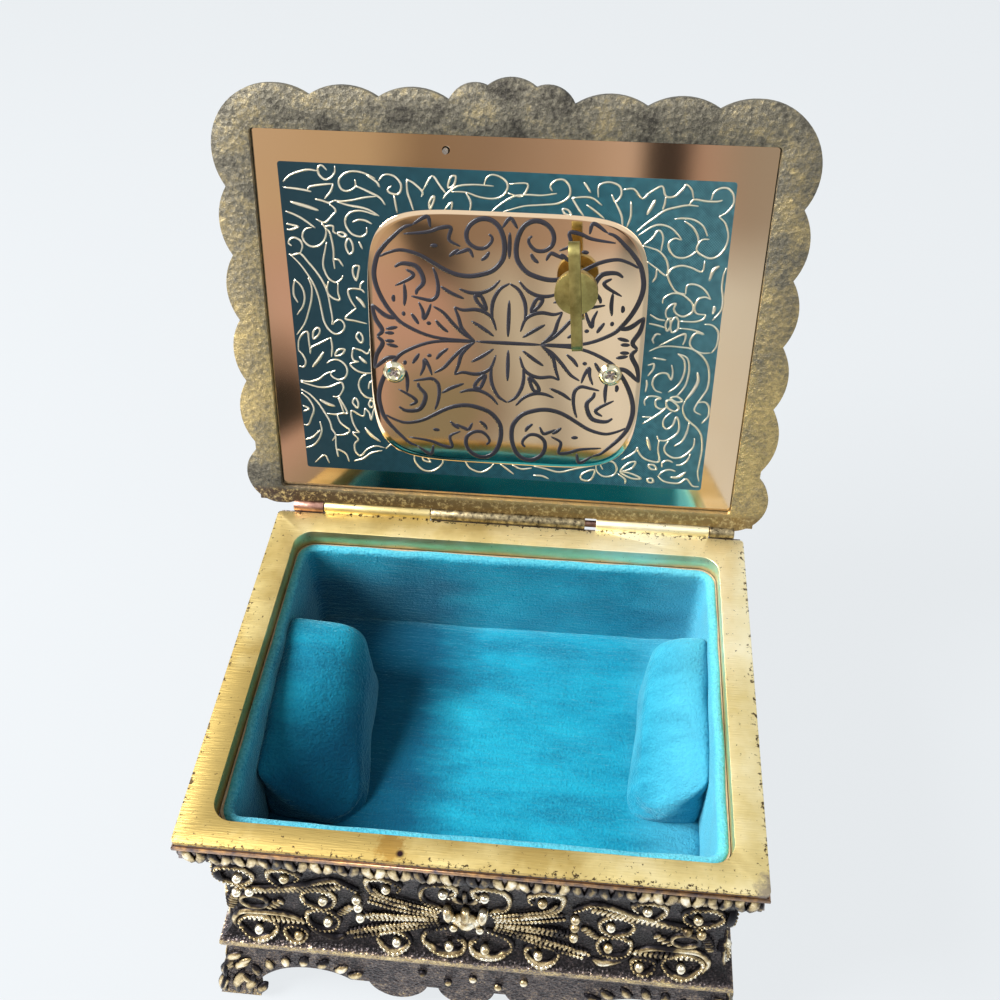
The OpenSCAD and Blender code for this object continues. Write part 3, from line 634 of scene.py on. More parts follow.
above = add(tree, "MapRange", {"Value": up, "From Min": 69.4, "From Max": 70.4})
tone = add(tree, "Mix", {0: above, 6: foot, 7: tone}, data_type="RGBA")
rough = add(tree, "MapRange", {"Value": age, "From Min": 0.3, "From Max": 0.75,
                               "To Min": 0.36, "To Max": 0.62})
hammer = add(tree, "TexVoronoi", {"Vector": place, "Scale": 1 / 1.1})
grit = add(tree, "TexNoise", {"Vector": place, "Scale": 1 / 0.38, "Detail": 4.0, "Roughness": 0.7})
both = add(tree, "Math", {0: hammer, 1: grit}, operation="ADD")
above = add(tree, "MapRange", {"Value": up, "From Min": 69.2, "From Max": 71.0})
rise = add(tree, "Math", {0: both, 1: above}, operation="MULTIPLY")
bump = add(tree, "Bump", {"Height": rise, "Distance": 0.2 * MM, "Strength": 0.9})
dress(shader, tone, rough, bump)
print("hammer marks of 1.1 mm")

# %% [markdown]
# ## Mirror, print and lines
# The plate is bright metal with a warm gold tint, smooth enough to mirror. Its field is printed in
# a translucent teal that leaves the scrolls bare, so they shine. The middle panel is bare and its
# scrolls are printed in a violet black.

# %% Gold tinted mirror
# Rolled and polished brass sheet: a true mirror, hazed a little by handling.
plate_metal, tree, shader, place = finish("gold_tinted_mirror", Metallic=1.0, Roughness=0.07)
haze = add(tree, "TexNoise", {"Vector": place, "Scale": 1 / 25, "Detail": 3.0})
tint = add(tree, "Mix", {0: haze, 6: "#ECCBA3", 7: "#F3DABC"}, data_type="RGBA")
smear = add(tree, "TexNoise", {"Vector": place, "Scale": 1 / 9, "Detail": 2.0})
bump = add(tree, "Bump", {"Height": smear, "Distance": 0.1 * MM, "Strength": 0.05})
dress(shader, tint, bump=bump)
print("mirror with a haze 25 mm wide")

# %% Teal print
# Translucent ink screened over the metal: deep teal with a dull metal shine through it, and the
# screen's weave as fine dots.
SCREEN_PITCH = 0.52
teal_print, tree, shader, place = finish("translucent_teal_print", Metallic=0.55, Roughness=0.3)
x = add(tree, "SeparateXYZ", {0: place}).outputs["X"]
# Painted reflection: the field is darker at the left and lighter to the right, as the mirror round
# it is.
across = add(tree, "MapRange", {"Value": x, "From Min": -45.0, "From Max": 42.0})
field = add(
    tree, "ValToRGB", {"Fac": across},
    stops=[(0.0, "#213A44"), (1.0, "#55868E"), (0.3, "#27535F"), (0.7, "#36717E")],
)
threads = []
for way in ((1, 0, 0), tuple(LID_UP)):
    along = add(tree, "VectorMath", {0: place, 1: way}, operation="DOT_PRODUCT")
    turn = add(tree, "Math", {0: along, 1: 2 * math.pi / SCREEN_PITCH}, operation="MULTIPLY")
    threads.append(add(tree, "Math", {0: turn}, operation="SINE"))
weave = add(tree, "Math", {0: threads[0], 1: threads[1]}, operation="MULTIPLY")
uneven = add(tree, "TexNoise", {"Vector": place, "Scale": 1 / 1.2, "Detail": 4.0})
cloth = add(tree, "Math", {0: weave, 1: 0.35, 2: uneven}, operation="MULTIPLY_ADD")
shade = add(tree, "MapRange", {"Value": cloth, "From Min": 0.2, "From Max": 0.8,
                               "To Min": 0.75, "To Max": 0.0})
woven = add(tree, "Mix", {0: shade, 6: field, 7: "#173640"}, data_type="RGBA")
bump = add(tree, "Bump", {"Height": cloth, "Distance": 0.06 * MM, "Strength": 0.4})
dress(shader, woven, bump=bump)
print("screen dots every", SCREEN_PITCH, "mm")

# %% Bare lines and violet black ink
# Metal left bare by the print: thin lines that catch every light.
bare_line, tree, shader, place = finish("bare_gilt_line", Metallic=0.9, Roughness=0.28)
haze = add(tree, "TexNoise", {"Vector": place, "Scale": 1 / 5, "Detail": 3.0})
dress(shader, add(tree, "Mix", {0: haze, 6: "#DCCFB0", 7: "#FAF2DE"}, data_type="RGBA"))
# Stoving ink with a thin gloss: nearly black, with a violet cast where the light grazes it.
violet_black, tree, shader, place = finish(
    "violet_black_print", Roughness=0.4, Coat_Weight=0.25, Coat_Roughness=0.2
)
haze = add(tree, "TexNoise", {"Vector": place, "Scale": 1 / 8, "Detail": 2.0})
dress(shader, add(tree, "Mix", {0: haze, 6: "#08070A", 7: "#262430"}, data_type="RGBA"))
print("bare lines and ink")

# %% [markdown]
# ## Velvet
# The lining is cut pile velvet. Its short upright threads look light where they are seen from the
# side and deep where one looks down into them, which the sheen gives. Where a finger has brushed
# it, the pile leans and changes tone. Real pile is finer than a pixel, so it is drawn at 0.5 mm.
# Shade and light are painted into its colour too: navy at the left of the well and on the left
# bolster, paler along the right side and the top edge.

# %% Velvet finish
# Cut pile velvet, woven and sheared: soft turquoise without gloss, with painted navy shadow at the
# left of the well and on the left bolster, and painted light along the right side and the top edge.
velvet, tree, shader, place = finish(
    "cut_pile_velvet", Roughness=0.95, Sheen_Weight=0.55, Sheen_Roughness=0.35,
    Sheen_Tint=linear("#9BE4F5"), Specular_IOR_Level=0.1,
)
brushed = add(tree, "Mapping", {"Vector": place, "Scale": (0.5, 1.6, 1.0)})
nap = add(tree, "TexNoise", {"Vector": brushed, "Scale": 1 / 11, "Detail": 5.0, "Roughness": 0.6})
tone = add(
    tree, "ValToRGB", {"Fac": nap},
    stops=[(0.28, "#06607E"), (0.75, "#179CB6"), (0.5, "#0A819E")],
)
pile = add(tree, "TexNoise", {"Vector": place, "Scale": 1 / 0.5, "Detail": 3.0, "Roughness": 0.7})
tips = add(tree, "MapRange", {"Value": pile, "From Min": 0.35, "From Max": 0.75, "To Max": 0.4})
apart = add(tree, "SeparateXYZ", {0: place}).outputs
x, up = apart["X"], apart["Z"]
ragged = add(tree, "Math", {0: nap, 1: 16.0, 2: x}, operation="MULTIPLY_ADD")
# Painted shadow: navy over the floor and walls at the left of the well, below the top, where the
# left wall and bolster shade it.
left = add(tree, "MapRange", {"Value": ragged, "From Min": 5.0, "From Max": -8.0})
deep = add(tree, "MapRange", {"Value": up, "From Min": 60.0, "From Max": 50.0})
painted_left_shadow = add(tree, "Math", {0: left, 1: deep}, operation="MULTIPLY")
painted_shadow_share = add(tree, "MapRange", {"Value": painted_left_shadow, "To Max": 0.82})
# Painted shade: the left bolster darkened towards navy.
pad = add(tree, "MapRange", {"Value": ragged, "From Min": -24.0, "From Max": -38.0, "To Max": 0.3})
# Painted light: the right side of the well is paler, where the window light falls.
right = add(tree, "MapRange", {"Value": ragged, "From Min": 36.0, "From Max": 48.0, "To Max": 0.5})
# Painted highlight: a pale ragged band along the top edge, where the pile catches the light.
top_highlight_height = add(tree, "Math", {0: pile, 1: 3.0, 2: up}, operation="MULTIPLY_ADD")
edge = add(tree, "MapRange", {"Value": top_highlight_height, "From Min": 61.7, "From Max": 63.2, "To Max": 0.6})
# Pile tips are the velvet's own colour; the navy, left bolster, right side and top edge mixes are
# painted shade and light.
for share, colour in ((tips, "#38B2C8"), (painted_shadow_share, "#084362"), (pad, "#084362"), (right, "#5DB4CC"),
                      (edge, "#6CC3D3")):
    tone = add(tree, "Mix", {0: share, 6: tone, 7: colour}, data_type="RGBA")
flat = add(tree, "Mapping", {"Vector": place, "Scale": (0.25, 1.4, 1.4)})
rows = add(tree, "TexNoise", {"Vector": flat, "Scale": 1 / 0.9, "Detail": 2.0})
hills = add(tree, "Math", {0: pile, 1: rows}, operation="ADD")
bump = add(tree, "Bump", {"Height": hills, "Distance": 0.4 * MM, "Strength": 1.0})
dress(shader, tone, bump=bump)
print("pile drawn at 0.5 mm")

# %% [markdown]
# ## Finishes of the plain CAD parts
# Most parts of the movement have the right shape already and need only their metal. One table
# names a base colour, how metallic and how rough it is, and the size of its grain in millimetres.

# %% Plain metals, card and wadding
PLAIN = {
    # Turned steel pin, rusted a little: brown with a blunt shine.
    "worn_hinge_steel": ("#4A2E2C", "#9C7C6C", 1.0, 0.34, 1.5),
    # Drawn tube that has lost its gilding: pinkish, like old copper pipe.
    "pink_copper_tube": ("#8A5E54", "#C79C88", 1.0, 0.34, 1.6),
    # Drawn tube, oxidised: mottled from nearly black to dull brass.
    "dark_pewter_tube": ("#2E2826", "#BFAE86", 1.0, 0.38, 0.9),
    # Rolled strip, tarnished: brown with violet and copper stains.
    "copper_brown_edge": ("#564C54", "#C79A66", 0.85, 0.42, 1.4),
    # Drawn and polished spring steel: cool white streaks of light.
    "polished_spring_steel": ("#B9BCBF", "#E3E4E4", 1.0, 0.22, 2.0),
    # Steel heated until it turns blue: dark, with a deep blue gleam.
    "blued_steel": ("#1E2A4A", "#3C4F7C", 1.0, 0.25, 2.5),
    # Nickel plating, bright: a faintly yellow sparkle.
    "nickel_plate": ("#BDB48F", "#EFE8CC", 1.0, 0.16, 2.0),
    # Zinc, die cast and left bare: flat grey and a little grainy.
    "grey_zinc_casting": ("#77787A", "#A6A7A8", 0.9, 0.48, 1.2),
    # Brass, turned on a lathe: clear yellow with a soft shine.
    "turned_brass": ("#B48B3C", "#E2C071", 1.0, 0.26, 3.0),
    # Stamped brass sheet, gone dull: olive, brighter where fingers turn it.
    "olive_key_brass": ("#7F7443", "#B5A869", 0.95, 0.36, 3.0),
    # Pressed grey card: matt, brownish and fibrous.
    "grey_card": ("#8B7B63", "#A59680", 0.0, 0.92, 0.8),
    # Black fibre board: matt black with a faint mottle.
    "black_fibre_board": ("#1B1A1C", "#302E31", 0.0, 0.85, 0.8),
    # Carded cotton: warm white and soft.
    "cotton_wadding": ("#D6D2C6", "#F1EEE6", 0.0, 0.97, 1.2),
}
GLOSS_SPREAD = 0.08
plain = {}
for name, (low, light, metal, gloss, size) in PLAIN.items():
    plain[name], tree, shader, place = finish(name, Metallic=metal)
    wear = add(tree, "TexNoise", {"Vector": place, "Scale": 1 / size, "Detail": 4.0,
                                  "Roughness": 0.6})
    tone = add(tree, "ValToRGB", {"Fac": wear}, stops=[(0.3, low), (0.7, light)])
    rough = add(tree, "MapRange", {"Value": wear, "To Min": gloss - GLOSS_SPREAD,
                                   "To Max": gloss + GLOSS_SPREAD})
    bump = add(tree, "Bump", {"Height": wear, "Distance": 0.06 * MM, "Strength": 0.5})
    dress(shader, tone, rough, bump)
print(len(PLAIN), "plain finishes")

# %% A finish for every CAD node
# Each finish with the CAD nodes that are made of it.
MADE_OF = {
    blackened: "casket_body", satin_gilt: "rim_frame", oxidised: "lid_shell",
    plate_metal: "mirror_plate",
    velvet: "lining_floor lining_front lining_back lining_left lining_right bolster_left "
            "bolster_right",
    plain["worn_hinge_steel"]: "hinge_pin", plain["black_fibre_board"]: "bottom_plate",
    plain["grey_card"]: "card_tray", plain["cotton_wadding"]: "floor_wadding",
    plain["olive_key_brass"]: "winding_key",
    plain["nickel_plate"]: "bottom_screws movement_screws",
    plain["polished_spring_steel"]: "comb winding_arbor wire_spring stop_wire drum_pinion "
                                    "second_arbor governor_worm",
    plain["blued_steel"]: "comb_screws governor_screws mainspring",
    plain["grey_zinc_casting"]: "bedplate governor_bracket wire_guide",
    plain["turned_brass"]: "spring_barrel barrel_cap pinned_drum drum_wheel worm_wheel air_fan",
}
NODE_FINISH = {name: metal for metal, names in MADE_OF.items() for name in names.split()}
for name, node in nodes.items():
    if not node.material_slots:
        node.data.materials.append(NODE_FINISH[name])
    for slot in node.material_slots:
        slot.material = NODE_FINISH[name]
print(len(NODE_FINISH), "nodes have a finish, of", len(nodes))

# %% [markdown]
# ## Softer edges
# A casting has no razor edge. Where a CAD node's edge shows, a copy of its mesh is merged, its
# flat faces are joined and its sharp edges are rounded. The copy stands in for the node.

# %% Softened copies
FLAT, SHARP, CREASE = math.radians(0.4), math.radians(28), math.radians(35)


def softened(node, width, body):
    """A copy of a CAD node with its sharp edges rounded to this width in mm."""
    bm = bmesh.new()
    bm.from_mesh(nodes[node].data)
    bmesh.ops.remove_doubles(bm, verts=bm.verts, dist=2e-6)
    bmesh.ops.dissolve_limit(bm, angle_limit=FLAT, verts=bm.verts, edges=bm.edges)
    sharp = [e for e in bm.edges if e.is_manifold and e.calc_face_angle(0) > SHARP]
    bmesh.ops.bevel(
        bm, geom=sharp, offset=width * MM, offset_type="OFFSET", affect="EDGES",
        segments=2, profile=0.5, material=-1, clamp_overlap=True,
    )
    bmesh.ops.triangulate(bm, faces=[f for f in bm.faces if len(f.verts) > 4])
    soft = piece(node + "_softened", bm, body, NODE_FINISH[node])
    soft.data.set_sharp_from_angle(angle=CREASE)
    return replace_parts(soft, node)


softened("rim_frame", 0.22, "box")
softened("winding_key", 0.3, "key")
softened("lid_shell", 0.35, "lid")

# %% [markdown]
# ## Hinge tubes
# The lid's three knuckles are drawn over with thin tubes, because each has aged in its own way:
# the left one to a pink copper and the others to a dark pewter. A dark strip fills the gap that
# shows between them and the rim: painted shadow, standing in for the shade in that gap.

# %% Hinge tubes
HINGE = Vector((0, 41.5, 65.6))
TUBE_R = 1.4
STRIP_Y, STRIP_Z = 40.5, 63.5
for name, x0, x1, metal in (
    ("hinge_tube_left", -48.35, -41.65, "pink_copper_tube"),
    ("hinge_tube_middle", -17.15, 17.15, "dark_pewter_tube"),
    ("hinge_tube_right", 44.65, 49.85, "dark_pewter_tube"),
):
    bm = bmesh.new()
    bmesh.ops.create_cone(bm, cap_ends=True, segments=40, radius1=TUBE_R, radius2=TUBE_R,
                          depth=x1 - x0)
    bmesh.ops.rotate(bm, matrix=Matrix.Rotation(math.radians(90), 3, "Y"), verts=bm.verts)
    bmesh.ops.translate(bm, vec=HINGE + Vector(((x0 + x1) / 2, 0, 0)), verts=bm.verts)
    ends = [e for e in bm.edges if e.calc_face_angle(0) > 1]
    bmesh.ops.bevel(bm, geom=ends, offset=0.12, offset_type="OFFSET", affect="EDGES",
                    segments=2, profile=0.5, material=-1)
    bmesh.ops.scale(bm, vec=(MM, MM, MM), verts=bm.verts)
    tube = piece(name, bm, "lid", plain[metal])
    tube.data.set_sharp_from_angle(angle=math.radians(40))
# Painted shadow: dark blocks that fill the gap by the knuckles, where it is dark only by shade.
bm = bmesh.new()
for x0, x1 in ((-51.5, -41.5), (-17.3, 19.6), (44.5, 51.5)):
    strip = bmesh.ops.create_cube(bm, size=1)["verts"]
    bmesh.ops.scale(bm, vec=(x1 - x0, 1.1, 1.2), verts=strip)
    bmesh.ops.translate(bm, vec=((x0 + x1) / 2, STRIP_Y, STRIP_Z), verts=strip)
bmesh.ops.scale(bm, vec=(MM, MM, MM), verts=bm.verts)
piece("hinge_shadow_strip", bm, "box", blackened, smooth=False)

# %% [markdown]
# ## The middle panel of the plate
# The panel is a little pillow: its metal swells towards the viewer, so it mirrors a different part
# of the room than the flat border does. It could be a plane with a modifier, but the printed lines
# have to follow it, so one swelling function lifts both. The panel starts as a square grid that is
# pushed out to a rounded square, and a skirt of two steps takes its edge down to the plate.

# %% Panel
PANEL_U, PANEL_V, PANEL_W, PANEL_H = -0.25, 35.65, 28.15, 27.35
SQUARENESS = 5.2


def swell(u, v):
    """Height of the panel over the plate, in mm: an edge, a round pillow and a flat one."""
    x, y = (u - PANEL_U) / PANEL_W, (v - PANEL_V) / PANEL_H
    pillow = 0.16 * max(0, 1 - x * x) * max(0, 1 - y * y)
    flat = 0.14 * max(0, 1 - x ** 8) * max(0, 1 - y ** 8)
    return 0.14 + pillow + flat


def on_panel(p):
    """A drawing point on the swollen panel, with p.z outwards from the metal."""
    return LID @ Vector((p.x, p.y, -swell(p.x, p.y) - p.z))


bm = bmesh.new()
bmesh.ops.create_grid(bm, x_segments=56, y_segments=56, size=1)
for vert in bm.verts:
    x, y = abs(vert.co.x), abs(vert.co.y)
    if x + y:
        vert.co *= max(x, y) / (x ** SQUARENESS + y ** SQUARENESS) ** (1 / SQUARENESS)
    vert.co = (PANEL_U + PANEL_W * vert.co.x, PANEL_V + PANEL_H * vert.co.y, 0)
    vert.co.z = -swell(vert.co.x, vert.co.y)
for drop, grow in ((0.1, 1.004), (0.1, 1.002)):
    skirt = bmesh.ops.extrude_edge_only(bm, edges=[e for e in bm.edges if e.is_boundary])["geom"]
    for vert in [g for g in skirt if isinstance(g, bmesh.types.BMVert)]:
        vert.co.x = PANEL_U + (vert.co.x - PANEL_U) * grow
        vert.co.y = PANEL_V + (vert.co.y - PANEL_V) * grow
        vert.co.z += drop
bmesh.ops.contextual_create(bm, geom=[e for e in bm.edges if e.is_boundary])
bmesh.ops.triangulate(bm, faces=[f for f in bm.faces if len(f.verts) > 4])
piece("gilt_panel", bm, "lid", plate_metal, place=on_lid)

# %% [markdown]
# ## The panel's scrolls
# The panel's arabesque is one quarter drawn four times. Each line is a smooth tapered stroke of
# print, 0.8 to 1 mm wide and thin as paint, laid on the swelling. Lines of points are used instead
# of a painted picture, because they stay sharp at any distance.

# %% Panel scrolls
BOLD = [
    [(-19, 59.9), (-20.75, 59.25), (-22.75, 57.5), (-24.5, 55.75), (-26, 53.75), (-26.75, 51.5),
     (-27, 49.25), (-26.5, 46.75), (-25.25, 44), (-23.5, 41.5), (-21, 39.2), (-15, 36.9),
     (-6.5, 36.5)],
    [(-25.75, 53.25), (-24, 54.1), (-21.75, 54.75), (-19.5, 54.5), (-17.25, 53.75), (-15, 52.5),
     (-12.75, 51.25), (-10.5, 50.4), (-8, 50.1), (-5.5, 50.5), (-3, 51.5), (-1.25, 53.5),
     (-0.75, 55.5),
     (-1, 58), (-2, 60.25), (-3.75, 61.5), (-5.75, 61.5), (-7.5, 60.4), (-8.3, 58.75), (-8, 57),
     (-6.5, 55.9), (-4.75, 55.9), (-3.5, 57), (-3.25, 58), (-3.9, 58.7)],
    [(-22.75, 51.25), (-21.5, 52), (-19.75, 52), (-18.25, 51.5), (-17.25, 50), (-17, 48.25),
     (-18.25, 46.75), (-18.5, 45.75)],
    [(-27.75, 43.25), (-27.1, 40.25), (-25.75, 37.75), (-26.9, 36.4)],
    [(-27.75, 43.25), (-25, 41), (-22.75, 40.5)],
]
FINE = [
    [(-20.75, 58), (-16, 58.6), (-13.5, 59.5), (-11.4, 59.6), (-11.75, 57.25), (-9.5, 56)],
    [(-19, 59.9), (-16.1, 61.6), (-15.4, 59.5)],
    [(-15.5, 55.9), (-14, 56)],
    [(-11.75, 53.9), (-10.7, 54.8), (-9.75, 55.4)],
    [(-10.5, 54.4), (-9, 55.1), (-7.75, 55.4), (-6.9, 53.9)],
    [(-5.4, 53.4), (-4.4, 54.2), (-3.75, 55.25)],
    [(-20.5, 50.9), (-19, 50), (-19.75, 49), (-22.75, 47.4)],
    [(-20.9, 48), (-20.75, 45.5), (-21, 43.25)],
    [(-15, 51.5), (-14.4, 50), (-14, 47.75), (-14.25, 45.75), (-15.5, 44.75), (-17.5, 45),
     (-19.5, 45.4)],
    [(-18, 44.25), (-17.2, 42.4), (-17, 40.75), (-16.1, 42.2), (-15.5, 44)],
    [(-13.5, 47.75), (-11.5, 46.5), (-8.75, 45.4)],
    [(-9.75, 47.4), (-7.75, 46.75), (-5.5, 46.75), (-3.25, 47.75), (-1.5, 49.6)],
    [(-15.1, 43.5), (-13, 42.25), (-11, 40), (-9, 38), (-7, 36.75)],
    [(-10.75, 43.6), (-9.9, 41.5), (-9.25, 39.25), (-7.75, 37.5), (-6.5, 36.5)],
    [(-10.75, 43.6), (-9, 43), (-6.5, 43.25), (-4.5, 42.75), (-3, 41.5), (-2.1, 39)],
    [(-7.25, 40.75), (-5, 39.4), (-2.6, 37.75)],
    [(0.4, 49), (-1.5, 47.75), (-2.75, 45.5), (-3.1, 43.25), (-2.9, 41.5)],
    [(-6.5, 46), (-5.75, 44.5), (-4.25, 43.4), (-5.25, 46), (-6.5, 46)],
    [(-23.1, 45.5), (-23.2, 44.7), (-23.1, 44)],
    [(-19.6, 41.75), (-18.8, 40.6), (-18.1, 39.5)],
    [(-14.6, 40.6), (-13.5, 39.25), (-12, 38.1)],
    [(-16.5, 39.9), (-15.5, 39.75)],
    [(-21.25, 42.1), (-21.1, 41.1)],
    [(-25.25, 37.25), (-23.25, 37.25)],
    [(-25, 34.8), (-22.5, 34.3)],
]
SINGLE = [
    [(0.4, 45.5), (0.35, 41.5), (0.3, 37.75)], [(0.2, 59.2), (0.2, 56.6), (0.2, 54)],
    [(-1.3, 60), (0.2, 61.9), (1.7, 60)], [(-6.5, 36.4), (0.4, 36.4), (7.3, 36.4)],
    [(0.4, 34.9), (0.4, 31.5), (0.4, 28)],
]
# The arabesque's middle, and how much shorter its right half and longer its lower half are.
MIDDLE = (0.4, 36.4)
RIGHT_SHARE = 0.965
LOWER_SHARE = 28.1 / 26.6


def four_ways(lines):
    """A quarter's lines and their mirror images to the right and below."""
    mid_x, mid_y = MIDDLE
    both = [[(x if x < mid_x else mid_x + (x - mid_x) * RIGHT_SHARE, y) for x, y in line]
            for line in mirrored(lines, mid_x)]
    below = [[(x, mid_y - (y - mid_y) * LOWER_SHARE) for x, y in line] for line in both]
    return both + below


bm = strokes(four_ways(BOLD), 0.52, taper=0.35, flat=0.06)
merge(bm, strokes(four_ways(FINE) + SINGLE, 0.42, taper=0.3, flat=0.07))
piece("panel_scrolls", bm, "lid", violet_black, place=on_panel)

# %% [markdown]
# ## The teal field and its scrolls
# The field is a thin rectangle of print over the plate, a little wider at its foot. The bare lines
# in it are 0.45 to 0.7 mm wide where they are boldest, and like the real ones they run off under
# the field's edge and the panel's. They were drawn point by point, side by side.

# %% Teal field
# The field's corners: whether each is on the right, whether it is at the far edge, and its place.
FIELD = {
    (False, False): Vector((-43.8, 4.7)), (True, False): Vector((42.9, 4.7)),
    (False, True): Vector((-45.1, 71.0)), (True, True): Vector((42.6, 70.4)),
}
bm = bmesh.new()
bmesh.ops.create_cube(bm, size=1)
for vert in bm.verts:
    right, up = vert.co.x > 0, vert.co.y > 0
    vert.co = FIELD[right, up].to_3d() + Vector((0, 0, -0.05 + 0.06 * vert.co.z))
upright = [e for e in bm.edges if abs(e.verts[0].co.z - e.verts[1].co.z) > 0.01]
bmesh.ops.bevel(bm, geom=upright, offset=0.5, offset_type="OFFSET", affect="EDGES",
                segments=2, profile=0.5, material=-1)
field = piece("teal_field", bm, "lid", teal_print, place=on_lid, smooth=False)

